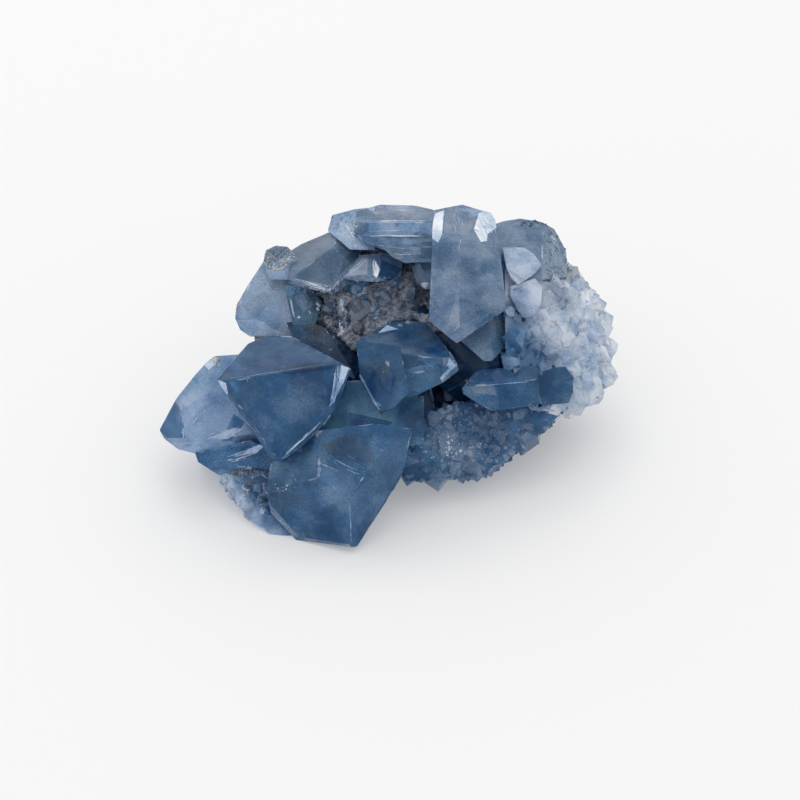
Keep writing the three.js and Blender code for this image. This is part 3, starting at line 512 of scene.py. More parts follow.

# Large crystals, drawn as the eye sees them, in millimetres. haze: colour of the milkiness; in the crystals
# deep in the cavity and the recess, a navy that is painted shade.
# front: three spots (across, up, near) of the face turned to the eye. depth: thickness behind
# that face. folds: one row for each further face in view, with the number of the face that it
# is folded back from, the two ends (across, up) of the edge that they share, and the turn at
# that edge in degrees. rim: the convex outline.
LARGE_CRYSTALS = {
    "outer_left": {
        "haze": "lilac",
        "front": [(-43, 2.4, 11), (-43.4, -8, 14), (-37.4, 8.8, 9)],
        "depth": 12,
        "folds": [(0, -44.2, 1, -43.2, -8.2, 50), (0, -43.2, -7.8, -32, -7, 50)],
        "rim": [
            (-48.6, -6), (-47.4, -8), (-44.4, -10), (-41, -10.9), (-22, -9), (-22, 9),
            (-31, 9.2), (-37, 8.8), (-38.6, 7.6), (-41, 5), (-45, 0),
        ],
    },
    "left_foot": {
        "haze": "blue",
        "front": [(-38, -10.6, 13), (-29, -10, 15), (-33, -14, 14)],
        "depth": 14,
        "folds": [(0, -38, -13, -27, -13.6, 35)],
        "rim": [(-41, -10.6), (-40.4, -12.4), (-35.6, -15.6), (-27, -15.4), (-24, -11), (-30, -8)],
    },
    "left_fringe": {
        "haze": "blue",
        "front": [(-35, -16, 13), (-27, -15, 16), (-27, -26, 17)],
        "depth": 10,
        "folds": [(0, -30, -14, -26, -28, 25)],
        "rim": [(-36, -15), (-34, -18.6), (-30.2, -24), (-26, -26.8), (-18, -28.2), (-18, -14), (-30, -13)],
    },
    "big_left": {
        "haze": "deep",
        "front": [(-35.6, 3.6, 25), (-24.4, -12, 25), (-11, 7.4, 21)],
        "depth": 20,
        "folds": [(0, -35.6, 3.6, -11, 7.4, 50), (0, -35.6, 3.6, -24.4, -12, 60)],
        "rim": [
            (-36.8, 4.2), (-25.6, -12.2), (-24, -12.2), (-20, -9.8), (-15, -4.8), (-12.2, -0.6),
            (-9.8, 6.2), (-21.6, 13.5), (-27.4, 13.4), (-30.8, 11.8),
        ],
    },
    "big_bottom": {
        "haze": "blue",
        "front": [(-10, -19.4, 27), (-9.8, -29.2, 23), (-25.8, -18.8, 20)],
        "depth": 21,
        "folds": [
            (0, -10, -19.4, -9.8, -29.2, 62),
            (0, -16.4, -15.6, -10, -19.4, 40),
            (0, -26.6, -18, -16.4, -15.6, 35),
            (1, -8.4, -29, 0, -16, 50),
            (1, -5.4, -8.8, 0.2, -5, 45),
        ],
        "rim": [
            (-26.8, -17.8), (-25.8, -22.6), (-20.8, -28), (-9.8, -29.4), (-7.2, -29.6),
            (1, -16.4), (3.8, -4.8), (-5.4, -4), (-18, -6), (-26, -12.6),
        ],
    },
    "teal_step": {
        "haze": "azure",
        "front": [(-10.6, 0.4, 15), (-10.2, -6.4, 16), (-17, -7.4, 14)],
        "depth": 15,
        "folds": [(0, -10.6, 0.4, -10.2, -6.4, 12)],
        "rim": [(-20, 3), (-20, -9), (-5, -10), (5, -9), (5, 1), (-8, 4)],
    },
    "back_left": {
        "haze": "pale",
        "front": [(-30, 23.4, -8), (-30, 12.6, -3), (-21.8, 19, -5)],
        "depth": 13,
        "folds": [(0, -33, 15.8, -22, 15, 25)],
        "rim": [
            (-27.6, 27.6), (-30, 23.6), (-32.6, 19.6), (-33, 16.4), (-32, 14), (-30, 12.6),
            (-18, 12.6), (-18, 28), (-23, 28.4),
        ],
    },
    "upper_left_slab": {
        "haze": "grey",
        "front": [(-22, 23.8, -1), (-13.8, 21.8, 2), (-13.4, 30.6, -3)],
        "depth": 12,
        "folds": [
            (0, -21.8, 24.4, -13.4, 30.6, 30),
            (0, -13.4, 30.6, -11.4, 28.6, 30),
            (0, -20, 23.6, -13.8, 21.9, 45),
            (0, -13.8, 21.9, -11, 24.9, 45),
        ],
        "rim": [
            (-22.4, 23.2), (-13.4, 21), (-7, 24.6), (-8, 31), (-10, 33.9), (-14.4, 33.8),
            (-20, 31.5), (-22.4, 30),
        ],
    },
    "bright_wedge": {
        "haze": "pale",
        "front": [(-11.4, 24.6, 1), (-4.6, 24.2, 3), (-6, 28.8, 0)],
        "depth": 14,
        "folds": [(0, -3.9, 29, -4.6, 24, 35)],
        "rim": [(-11.4, 24.4), (-9, 23.8), (-4.6, 23.6), (0.4, 24.2), (0.8, 28.6), (-3.8, 29.4), (-8, 28.9)],
    },
    "top_left_rough": {
        "haze": "lilac",
        "front": [(-14, 34, -5), (-9, 31, 0), (-8, 37.4, -4)],
        "depth": 11,
        "folds": [(0, -13, 37, -9, 31, 25)],
        "rim": [(-14.6, 33.8), (-13.6, 37), (-9, 38.2), (-5, 38.6), (-5, 30), (-10, 30)],
    },
    "top_slab": {
        "haze": "pale",
        "front": [(-8.6, 33.2, 1), (5.8, 33, 2.5), (-5, 35.8, 1)],
        "depth": 13,
        "folds": [(0, -9, 35.6, 7, 35.6, 50)],
        "rim": [(-9.4, 33), (-9, 37.9), (-4, 39.5), (3, 39.3), (7, 38.3), (9, 36), (9, 31), (-6, 31)],
    },
    "middle_slab": {
        "haze": "grey",
        "front": [(-8.4, 32.9, 2.4), (6, 32.9, 3.6), (-1.8, 29.8, 4.2)],
        "depth": 14,
        "folds": [],
        "rim": [(-8.6, 33), (-7.4, 31.4), (-2, 29.6), (7, 29.4), (8, 33)],
    },
    "lower_slab": {
        "haze": "grey",
        "front": [(-1.6, 29.8, 4.6), (6.4, 30.6, 5), (6.6, 28, 6.4)],
        "depth": 14,
        "folds": [],
        "rim": [(-3, 30), (-1.6, 28.6), (1, 27.4), (7, 27.6), (8, 31)],
    },
    "tall_pale": {
        "haze": "lilac",
        "front": [(12, 31, 8), (12, 14, 16.6), (20.6, 19, 12.8)],
        "depth": 16,
        "folds": [
            (0, 11.8, 31, 11.8, 14.8, 16),
            (0, 11.8, 14.8, 20.8, 18.4, 35),
            (0, 8.6, 31.2, 18.4, 30.8, 18),
        ],
        "rim": [
            (5.7, 15.8), (11.3, 11.2), (12, 11.6), (20.7, 17.8), (21.3, 19.6), (20.6, 25),
            (19.6, 35), (18.4, 37.6), (12.4, 39.4), (6.6, 38.2),
        ],
    },
    "pale_foot": {
        "haze": "mist",
        "front": [(12, 11.7, 11), (17, 8, 12.5), (17.6, 16.4, 9)],
        "depth": 18,
        "folds": [(0, 17.6, 16.4, 18.6, 8.2, 35)],
        "rim": [(12, 11.9), (16.8, 7.7), (18.4, 7.8), (20.8, 10), (21.6, 14.9), (20.7, 19), (12, 19)],
    },
    "centre": {
        "haze": "deep",
        "front": [(-1, 4.8, 22), (9.6, 6.8, 20.5), (-3.5, 9.5, 19.5)],
        "depth": 20,
        "folds": [
            (0, -3.6, 9.9, 11, 7.8, 30),
            (0, -1, 4.6, 9.6, 6.8, 35),
            (0, -3.6, 9.6, -0.8, 3.4, 45),
        ],
        "rim": [
            (-8.7, 12), (-6, 5), (-1.4, 0.2), (3.6, 0.8), (8.9, 3.5), (11.8, 5.9), (11.2, 8),
            (8, 12.8), (5.6, 15.6), (4, 16.2), (-2, 16.2),
        ],
    },
    "centre_tip": {
        "haze": "deep",
        "front": [(-3.6, 9.6, 19.6), (-0.8, 3.4, 22.3), (-8, 4, 17.2)],
        "depth": 18,
        "folds": [],
        "rim": [(-8.8, 12), (-8, 4), (-5.8, 0.1), (-3.7, -2.4), (-1.4, -1.8), (1.8, 1.6), (0, 11)],
    },
    "right_centre": {
        "haze": "blue",
        "front": [(13, 1.6, 16), (18.4, -1.6, 15.5), (26, 2, 13)],
        "depth": 18,
        "folds": [(0, 13.4, 2.7, 26, 4, 35)],
        "rim": [
            (12.4, 2.4), (12.6, 1.3), (15.1, -0.4), (18.4, -2.2), (28, -1), (27.4, 7), (16.4, 6.3),
            (14.7, 5.4),
        ],
    },
    "right_small": {
        "haze": "blue",
        "front": [(27.5, 5, 9), (33, 6.2, 8), (33.4, 0, 10)],
        "depth": 14,
        "folds": [],
        "rim": [(26.8, 5), (27, -1.2), (33.8, -0.6), (34.6, 1.6), (34.8, 4.6), (33.1, 6.7), (30.8, 6.5)],
    },
    "upper_right": {
        "haze": "mist",
        "front": [(20.6, 30.2, 5), (26.7, 29, 4.5), (23.6, 23.4, 8)],
        "depth": 14,
        "folds": [(0, 21.2, 26.4, 25.4, 24, 30)],
        "rim": [
            (20.4, 30.5), (21.2, 26.6), (22, 24.4), (23.5, 22.9), (26.7, 25), (28.4, 27),
            (26.8, 29.2), (24.8, 30.5),
        ],
    },
    "upper_right_wall": {
        "haze": "grey",
        "front": [(20.4, 31, 0), (28.4, 29, -1), (20.8, 35.4, -3)],
        "depth": 12,
        "folds": [(0, 28.6, 35.4, 28.4, 25, 40)],
        "rim": [
            (18, 24), (34, 24), (33.6, 30), (31, 34.4), (28, 35.7), (24, 36.3), (20.8, 35.8), (18, 35),
        ],
    },
    "right_whitish": {
        "haze": "frost",
        "front": [(22.4, 22.4, 7), (27, 24, 6), (25, 16.8, 8)],
        "depth": 14,
        "folds": [],
        "rim": [
            (22, 22.8), (22, 20.8), (23.4, 18), (24.8, 16.3), (26.8, 16.8), (28.2, 19.2),
            (28.5, 22.4), (27, 24.4),
        ],
    },
    "right_bed": {
        "haze": "white",
        "front": [(28, 18, 3), (40, 14, -4), (32, 6, 5)],
        "depth": 20,
        "folds": [(0, 38, 20, 40, 2, 35), (0, 26, 25, 38, 20, 35)],
        "rim": [
            (30, 32), (21, 26), (21, 10), (26, -2), (34.6, -2.6), (39.4, 0.6), (41.6, 4),
            (42.6, 10), (41, 18), (36.4, 26),
        ],
    },
    "lower_right_bed": {
        "haze": "blue",
        "front": [(4, -6, 12), (28, -2, 9), (14, -15, 12)],
        "depth": 15,
        "folds": [],
        "rim": [
            (1, -16.3), (13.4, -15.4), (21.6, -13.6), (25, -10.2), (29, -6), (33, -3), (28, 0),
            (14, -0.6), (9, -1.6), (3, -4), (0, -8),
        ],
    },
    # Navy haze here is painted shade: this crystal lies deep in the cavity
    "cavity_right": {
        "haze": "navy",
        "front": [(10, 11, 6), (16, 7, 8), (12, 1, 8)],
        "depth": 16,
        "folds": [(0, 11, 2.6, 17, 6, 40)],
        "rim": [(7, 13), (8, 3), (12, -1), (18, 1), (20, 7), (19, 13), (13, 15)],
    },
    # Navy haze here is painted shade: this crystal lies deep in the cavity
    "cavity_floor": {
        "haze": "navy",
        "front": [(3, 2, 7), (9, 0, 5), (6, -4, 8)],
        "depth": 16,
        "folds": [(0, 6, 3, 7.4, -4, 40)],
        "rim": [(-2, 6), (0, -6), (8, -6), (13, -1), (12, 5), (5, 8)],
    },
    "recess_left": {
        "haze": "teal",
        "front": [(-22.6, 22.6, -2), (-20.6, 15.8, 0), (-16.4, 19.6, -1)],
        "depth": 16,
        "folds": [(0, -19.6, 22.6, -17.4, 15.6, 25)],
        "rim": [(-23.2, 23), (-21.4, 15), (-17, 14.6), (-15.4, 19.6), (-18.6, 23)],
    },
    # Navy haze here is painted shade: this crystal lies back in the recess
    "recess_foot": {
        "haze": "navy",
        "front": [(-20, 14, 1), (-14, 9, 5), (-10, 12, 3)],
        "depth": 16,
        "folds": [(0, -16, 16, -11, 8, 30)],
        "rim": [(-23, 15.4), (-19, 9), (-9, 4), (-8, 8), (-11, 12.6), (-16, 15), (-20, 16)],
    },
    "back_knob": {
        "haze": "stone",
        "front": [(-26, 27.4, -7), (-22, 27.4, -6), (-24, 30.4, -8)],
        "depth": 9,
        "folds": [],
        "rim": [
            (-27.4, 27.4), (-26.8, 30), (-24.8, 30.9), (-22.4, 30.6), (-20, 28), (-22, 24), (-26, 24),
        ],
    },
    "recess_right": {
        "haze": "grey",
        "front": [(2.4, 26, 3), (6.4, 28, 4), (6.4, 23.8, 5)],
        "depth": 14,
        "folds": [(0, 4, 29.4, 4.6, 23, 30)],
        "rim": [(2.2, 26.4), (3.2, 23.4), (6.6, 21.8), (8, 23), (8, 29.4), (4.8, 29.6)],
    },
    "back_bed": {
        "haze": "pale",
        "front": [(-20, 30, -10), (20, 30, -10), (0, 20, -12)],
        "depth": 9,
        "folds": [],
        "rim": [
            (-21, 26), (-13, 31), (0, 34), (14, 34), (24, 31), (30, 26), (33, 20),
            (20, 14), (-16, 14), (-24, 20),
        ],
    },
}

# Small crystals all round a bed: how many are tried, half width and height of the smallest and
# of the largest in millimetres, the number that their chances start from, and their hazes.
# The fine ones are only here, and the others are in the solids too.
CRUSTS = [
    {"bed": "right_bed", "count": 110, "width": (1.5, 2.8), "height": (1, 2.6), "seed": 11,
     "hazes": ("white", "frost", "white")},
    {"bed": "lower_right_bed", "count": 84, "width": (1.3, 2.4), "height": (0.8, 2), "seed": 23,
     "hazes": ("pale", "lilac", "pale", "blue")},
    {"bed": "left_fringe", "count": 30, "width": (1, 1.8), "height": (0.5, 1.4), "seed": 37,
     "hazes": ("grey", "blue")},
    {"bed": "back_bed", "count": 50, "width": (2.4, 5), "height": (1.5, 4.5), "seed": 51,
     "hazes": ("pale", "blue", "grey")},
]
FINE_CRUSTS = [
    {"bed": "right_bed", "count": 560, "width": (1.1, 3.2), "height": (0.1, 1.0), "seed": 101,
     "hazes": ("white", "frost", "white", "white")},
    {"bed": "lower_right_bed", "count": 1100, "width": (0.4, 1.4), "height": (0.1, 0.9), "seed": 211,
     "hazes": ("pale", "lilac", "blue", "pale", "mist", "lilac")},
    {"bed": "left_fringe", "count": 150, "width": (0.8, 2.4), "height": (0.2, 1.1), "seed": 307,
     "hazes": ("slate", "blue", "grey", "slate")},
    {"bed": "back_bed", "count": 300, "width": (0.8, 2.0), "height": (0.6, 2.2), "seed": 401,
     "hazes": ("pale", "blue", "grey")},
]

# Large crystals with the milky finish
MILKY_BEDS = (
    "back_left", "right_bed", "left_fringe", "upper_right", "right_whitish", "top_left_rough", "back_knob",
    "upper_right_wall",
)

Face = namedtuple("Face", "point normal")
Crystal = namedtuple("Crystal", "faces heart haze patches", defaults=((),))


def height_over(face, spot):
    return (spot - face.point).dot(face.normal)


# A point on the sight line through a spot (across, up) of the view, nearer the eye than its middle.
def seen(across, up, near):
    shrink = 1 - near * MM / EYE_DISTANCE
    return VIEW_MIDDLE + ((RIGHT * across + UP * up) * shrink + NEAR * near) * MM


# Where the sight line through a spot of the view meets a face.
def on_face(face, across, up):
    sight = seen(across, up, 0) - EYE
    reach = (face.point - EYE).dot(face.normal) / sight.dot(face.normal)
    return EYE + sight * reach


# The face that turns back from another along an edge, away from the heart of the crystal.
# Without a turn, it runs back along the line of sight and leans in a little.
def folded_face(face, edge, heart):
    start = on_face(face, edge[0], edge[1])
    along = (on_face(face, edge[2], edge[3]) - start).normalized()
    outward = along.cross(face.normal)
    if outward.dot(start - heart) < 0:
        outward.negate()
    sight = (start - EYE).normalized()
    turn = math.atan2(-face.normal.dot(sight), outward.dot(sight)) + RIM_LEAN
    if len(edge) > 4:
        turn = math.radians(edge[4])
    return Face(start, face.normal * math.cos(turn) + outward * math.sin(turn))


def large_crystal(name, drawing):
    corners = [seen(*corner) for corner in drawing["front"]]
    normal = (corners[1] - corners[0]).cross(corners[2] - corners[0]).normalized()
    if normal.dot(EYE - corners[0]) < 0:
        normal.negate()
    heart = sum(corners, Vector()) / len(corners) - normal * HEART_DEPTH
    faces = [Face(corners[0], normal)]
    for fold in drawing["folds"]:
        faces.append(folded_face(faces[fold[0]], fold[1:], heart))
    rim = drawing["rim"]
    for spot, following in zip(rim, rim[1:] + rim[:1]):
        faces.append(folded_face(faces[0], (*spot, *following), heart))
    faces.append(Face(corners[0] - normal * drawing["depth"] * MM, -normal))
    patches = [(haze, patch) for owner, haze, patch in TONE_AND_PAINTED_LIGHT_PATCHES if owner == name]
    return Crystal(faces, heart, drawing["haze"], patches)


# Repeatable numbers from 0 to 1, for as many whole numbers on from the first
def chances(first, count):
    found = []
    for number in range(first, first + count):
        value = math.sin(number * CHANCE_STEP + CHANCE_START) * CHANCE_SPREAD
        found.append(value - math.floor(value))
    return found


def between(limits, share):
    return limits[0] + (limits[1] - limits[0]) * share


# A small crystal: a rhombic prism that ends in four sloping faces.
def sprout(root, axis, width, height, spin, haze):
    side = Vector((0, 0, 1)).cross(axis)
    if side.length < UPRIGHT:
        side = Vector((1, 0, 0))
    side = side.cross(axis).normalized()

    def across(degrees):
        return Quaternion(axis, spin + math.radians(degrees)) @ side

    faces = [Face(root + across(angle) * width, across(angle)) for angle in PRISM_ANGLES]
    tip = root + axis * height
    for angle, slope in DOME_SLOPES:
        lean = math.radians(slope)
        faces.append(Face(tip, across(angle) * math.sin(lean) + axis * math.cos(lean)))
    faces.append(Face(root - axis * SPROUT_SINK, -axis))
    return Crystal(faces, root, haze)


# Where a straight line from inside a crystal comes out of it.
def way_out(faces, start, direction):
    exits = []
    for face in faces:
        speed = face.normal.dot(direction)
        if speed > 0:
            exits.append((-height_over(face, start) / speed, face))
    return min(exits, key=lambda found: found[0])


def is_inside(faces, spot, margin):
    return all(height_over(face, spot) < -margin for face in faces)


# Whether a spot on a large crystal is as deep as the margin inside another one
def is_buried(owner, spot, margin):
    return any(
        is_inside(other.faces, spot, margin) for name, other in large.items() if name != owner
    )


def sight_through(across, up):
    return (seen(across, up, 0) - EYE).normalized()


# Where the sight line through a spot of the view first meets a crystal, and the face there
def first_met(crystal, across, up):
    sight = sight_through(across, up)
    best = None
    for face in crystal.faces:
        speed = face.normal.dot(sight)
        if speed < 0:
            reach = -height_over(face, EYE) / speed
            if best is None or reach > best[0]:
                best = (reach, face)
    return EYE + sight * best[0], best[1]


# Small crystals all round a bed, left out where they would be buried in a larger crystal.
def crust(bed, count, width, height, seed, hazes):
    faces, heart = large[bed][:2]
    middle = heart - faces[0].normal * LARGE_CRYSTALS[bed]["depth"] * MM / 2
    sprouts = []
    for i in range(count):
        lift = 1 - (2 * i + 1) / count
        ring = math.sqrt(1 - lift * lift)
        turn = i * GOLDEN_ANGLE
        out = Vector((math.cos(turn) * ring, math.sin(turn) * ring, lift))
        reach, face = way_out(faces, middle, out)
        root = middle + out * reach
        draw = chances(seed + i * CHANCES_EACH, CHANCES_EACH)
        twist = Vector([between((-SPROUT_TWIST, SPROUT_TWIST), value) for value in draw[1:4]])
        axis = (face.normal + out + twist).normalized()
        if root.z > width[1] * MM and not is_buried(bed, root, BURIED_DEPTH):
            sprouts.append(sprout(
                root, axis, between(width, draw[4] ** 2) * MM, between(height, draw[5]) * MM,
                draw[6] * math.pi, hazes[i % len(hazes)],
            ))
    return sprouts


def new_shape():
    bm = bmesh.new()
    bm.loops.layers.float_color.new("haze")
    return bm


# Gives every corner of every face a haze
def fill_with_haze(bm, tone):
    haze = bm.loops.layers.float_color["haze"]
    for face in bm.faces:
        for corner in face.loops:
            corner[haze] = (*HAZES[tone], 1)


# Cuts a closed shape down to its part behind all the faces, each moved outwards by a margin
def cut_down(bm, faces, margin=0):
    for face in faces:
        whole = bm.verts[:] + bm.edges[:] + bm.faces[:]
        cut = bmesh.ops.bisect_plane(
            bm, geom=whole, plane_co=face.point + face.normal * margin, plane_no=face.normal,
            clear_outer=True,
        )
        seam = [part for part in cut["geom_cut"] if isinstance(part, bmesh.types.BMEdge)]
        if seam:
            bmesh.ops.edgeloop_fill(bm, edges=seam)


# A closed crystal cut from a block, with worn edges, its haze and its patches
def cut_crystal(crystal, block=BLOCK_SIZE, worn=WORN_EDGE, grown=0):
    bm = new_shape()
    bmesh.ops.create_cube(bm, size=block, matrix=Matrix.Translation(crystal.heart))
    cut_down(bm, crystal.faces, grown)
    bmesh.ops.remove_doubles(bm, verts=bm.verts, dist=TINY)
    if worn:
        bmesh.ops.bevel(
            bm, geom=bm.edges, offset=worn, segments=1, profile=0.5, affect="EDGES",
            clamp_overlap=True, material=-1,
        )
    bmesh.ops.recalc_face_normals(bm, faces=bm.faces)
    fill_with_haze(bm, crystal.haze)
    for patch_colour, patch in crystal.patches:
        paint_patch(bm, patch_colour, patch)
    return bm


# The planes from the eye through the sides of a patch, facing out
def sight_planes(patch):
    middle = sum((seen(*spot, 0) for spot in patch), Vector()) / len(patch)
    sides = []
    for spot, following in zip(patch, patch[1:] + patch[:1]):
        side = (seen(*spot, 0) - EYE).cross(seen(*following, 0) - EYE).normalized()
        sides.append(side if side.dot(middle - EYE) < 0 else -side)
    return sides


# Cuts the faces in view along the outline of a patch, and gives what is inside it the patch's colour: in some
# patches a tone of the crystal, in others painted shade and painted reflection
def paint_patch(bm, patch_colour, patch):
    haze = bm.loops.layers.float_color["haze"]
    sides = sight_planes(patch)
    for side in sides:
        facing = [face for face in bm.faces if face.normal.dot(EYE - face.verts[0].co) > 0]
        edges = {edge for face in facing for edge in face.edges}
        corners = {corner for edge in edges for corner in edge.verts}
        bmesh.ops.bisect_plane(
            bm, geom=[*corners, *edges, *facing], plane_co=EYE, plane_no=side, dist=TINY / 100,
        )
    for face in bm.faces:
        spot = face.calc_center_median()
        if face.normal.dot(EYE - spot) > 0 and all(side.dot(spot - EYE) < 0 for side in sides):
            for corner in face.loops:
                corner[haze] = (*HAZES[patch_colour], 1)


def mesh_from(bm, name):
    mesh = bpy.data.meshes.new(name)
    bm.to_mesh(mesh)
    bm.free()
    return mesh


def shape_from(mesh):
    bm = bmesh.new()
    bm.from_mesh(mesh)
    return bm


def finished_mesh(piece):
    return bpy.data.meshes.new_from_object(piece.evaluated_get(bpy.context.evaluated_depsgraph_get()))


def piece_from(mesh, name, collection=None):
    piece = bpy.data.objects.new(name, mesh)
    (collection or bpy.context.scene.collection).objects.link(piece)
    return piece


# A piece with one material all over
def dressed(mesh, name, material):
    mesh.materials.clear()
    mesh.materials.append(material)
    return piece_from(mesh, name)


# One solid from two sets of overlapping or cutting solids
def joined(base, others, operation, name):
    collection = bpy.data.collections.new(name + "_parts")
    bpy.context.scene.collection.children.link(collection)
    for number, mesh in enumerate(others):
        piece_from(mesh, f"{name}_part_{number}", collection)
    piece = piece_from(base, name)
    join = piece.modifiers.new("join", "BOOLEAN")
    join.operand_type = "COLLECTION"
    join.collection = collection
    join.operation = operation
    join.solver = "MANIFOLD"
    join.material_mode = "TRANSFER"
    solid = finished_mesh(piece)
    for part in [piece, *collection.objects]:
        mesh = part.data
        bpy.data.objects.remove(part)
        bpy.data.meshes.remove(mesh)
    bpy.data.collections.remove(collection)
    solid.name = name
    return solid


def grown_into_one(meshes, name):
    return joined(meshes[0], meshes[1:], "UNION", name)


# A ball with a radius of 1 and a ragged surface
def ragged_ball(rounds, depth, waves, drift):
    bm = new_shape()
    bmesh.ops.create_icosphere(bm, subdivisions=rounds, radius=1)
    for corner in bm.verts:
        ragged = 1 + depth * noise.noise(corner.co * waves + drift)
        corner.co = corner.co * ragged
    return bm


# A ragged pebble of space that breaks a chip out of an edge, longest along it
def chip(spot, outward, along, size, seed):
    bm = ragged_ball(2 if size > BIG_CHIP else 1, CHIP_RAGGED, CHIP_WAVES, Vector((seed, 0, 0)))
    draw = chances(seed + 1, 2)
    stretch = between(CHIP_STRETCH, draw[0])
    for corner in bm.verts:
        corner.co.x *= stretch
    turn = along.to_track_quat("X", "Z").to_matrix().to_4x4()
    middle = spot + outward * size * between(CHIP_RAISE, draw[1])
    bmesh.ops.transform(
        bm, matrix=Matrix.Translation(middle) @ turn @ Matrix.Scale(size, 4), verts=bm.verts,
    )
    fill_with_haze(bm, "frost")
    return mesh_from(bm, "chip")


# Thin cracks in a bundle on the face of a crystal
def cracks():
    found = []
    for number, (name, start, end, spread, thick, count) in enumerate(FRACTURES):
        for i in range(count):
            seed = number * CRACK_SEEDS + i * CHANCES_EACH
            draw = chances(seed + FIRST_CRACK_DRAW, 6)
            first, last = sorted(draw[:2])
            if last - first < SHORTEST_CRACK:
                last = first + SHORTEST_CRACK
            drift = Vector((end[1] - start[1], start[0] - end[0])).normalized() * spread
            shift = (draw[2] - 0.5) * drift
            skew = (draw[3] - 0.5) * drift * CRACK_SKEW
            head = Vector(start).lerp(Vector(end), first) + shift
            tail = Vector(start).lerp(Vector(end), last) + shift + skew
            near, face = first_met(large[name], *head)
            far, far_face = first_met(large[name], *tail)
            whole = all(is_inside(large[name].faces, spot, -TINY) for spot in (near, far))
            if not whole or far_face is not face:
                continue
            along = far - near
            bm = new_shape()
            bmesh.ops.create_icosphere(bm, subdivisions=1, radius=1)
            breadth = thick * MM * between(CRACK_BREADTH, draw[4] ** 2)
            bmesh.ops.scale(bm, vec=(along.length / 2, breadth, breadth * CRACK_FLATNESS), verts=bm.verts)
            for corner in bm.verts:
                corner.co.y += breadth * CRACK_WAVE * math.sin(corner.co.x * CRACK_WAVES + seed)
            turn = along.normalized().to_track_quat("X", "Z")
            bmesh.ops.transform(
                bm, matrix=Matrix.Translation((near + far) / 2) @ turn.to_matrix().to_4x4(),
                verts=bm.verts,
            )
            fill_with_haze(bm, CRACK_TONES[int(draw[5] * len(CRACK_TONES))])
            found.append(mesh_from(bm, "crack"))
    return found


# Broken white places and painted glints: thin plates along the face of a crystal, cut out along lines of
# sight
def broken_places_and_glints():
    found = []
    for name, tone, patch in BROKEN_PLACES_AND_GLINTS:
        spots = [first_met(large[name], *spot)[0] for spot in patch]
        middle = sum(spots, Vector()) / len(spots)
        bm = new_shape()
        bmesh.ops.create_cube(bm, size=PLACE_BLOCK, matrix=Matrix.Translation(middle))
        cuts = [Face(face.point + face.normal * PLACE_RISE, face.normal) for face in large[name].faces]
        face = first_met(large[name], *[sum(values) / len(patch) for values in zip(*patch)])[1]
        cuts.append(Face(middle - face.normal * PLACE_DEPTH, -face.normal))
        cuts.extend(Face(EYE, side) for side in sight_planes(patch))
        cut_down(bm, cuts)
        bmesh.ops.recalc_face_normals(bm, faces=bm.faces)
        fill_with_haze(bm, tone)
        found.append(mesh_from(bm, "place"))
    return found


# Chips along the worn edges of the large crystals, where nothing covers them
def chips():
    found = []
    seed = 0
    for name, crystal in large.items():
        bm = cut_crystal(crystal._replace(patches=()), worn=0)
        for edge in bm.edges:
            start, end = (corner.co.copy() for corner in edge.verts)
            length = (end - start).length
            if len(edge.link_faces) < 2 or length < CHIP_SPACING or edge.calc_face_angle() < SHARP_EDGE:
                continue
            outward = (edge.link_faces[0].normal + edge.link_faces[1].normal).normalized()
            for _ in range(int(length / CHIP_SPACING)):
                seed += CHANCES_EACH
                draw = chances(seed + 3, 2)
                spot = start.lerp(end, draw[0])
                if spot.z > 0 and not is_buried(name, spot, -TINY):
                    size = between(CHIP_SIZES, draw[1] ** 3)
                    found.append(chip(spot, outward, (end - start).normalized(), size, seed))
        bm.free()
    return found


# A block with its lower side in a plane, for cutting away what is beyond
def block_beyond(point, normal):
    bm = new_shape()
    size = 4 * BLOCK_SIZE
    turn = normal.to_track_quat("Z", "Y").to_matrix().to_4x4()
    bmesh.ops.create_cube(bm, size=size, matrix=Matrix.Translation(point + normal * size / 2) @ turn)
    return mesh_from(bm, "beyond")


# Nodes of a material, group or room, wired as they are added
class Nodes:
    def __init__(self, tree):
        self.tree = tree
        tree.nodes.clear()

    def add(self, kind, inputs=None, **settings):
        node = self.tree.nodes.new("ShaderNode" + kind)
        for name, value in settings.items():
            setattr(node, name, value)
        for name, value in (inputs or {}).items():
            self.feed(node.inputs[name], value)
        return node

    def feed(self, socket, value):
        if isinstance(value, bpy.types.NodeSocket):
            self.tree.links.new(value, socket)
        else:
            socket.default_value = value

    def math(self, operation, *values):
        node = self.add("Math", operation=operation)
        for socket, value in zip(node.inputs, values):
            self.feed(socket, value)
        return node.outputs[0]

    # The sockets of a Mix node that are for colours go by number, because its names come twice
    def mix(self, share, first, second, blend="MIX"):
        inputs = {0: share, 6: first, 7: second}
        return self.add("Mix", inputs, data_type="RGBA", blend_type=blend).outputs[2]

    def spread(self, value, span, limits=(0, 1)):
        node = self.add("MapRange", {
            "Value": value, "From Min": span[0], "From Max": span[1],
            "To Min": limits[0], "To Max": limits[1],
        })
        return node.outputs[0]

    def noise(self, pattern, where, result="Fac"):
        scale, detail, rough = pattern
        inputs = {"Vector": where, "Scale": scale, "Detail": detail, "Roughness": rough}
        return self.add("TexNoise", inputs).outputs[result]


def new_material(name):
    material = bpy.data.materials.new(name)
    material.use_nodes = True
    nodes = Nodes(material.node_tree)
    output = nodes.add("OutputMaterial")
    return material, nodes, output


# A group of shader nodes, made once and placed in each material with its own values
def new_group(name, inputs, outputs):
    tree = bpy.data.node_groups.new(name, "ShaderNodeTree")
    nodes = Nodes(tree)
    for side, sockets in (("INPUT", inputs), ("OUTPUT", outputs)):
        for title, kind in sockets.items():
            tree.interface.new_socket(title, in_out=side, socket_type="NodeSocket" + kind)
    return tree, nodes, tree.nodes.new("NodeGroupInput").outputs, tree.nodes.new("NodeGroupOutput").inputs
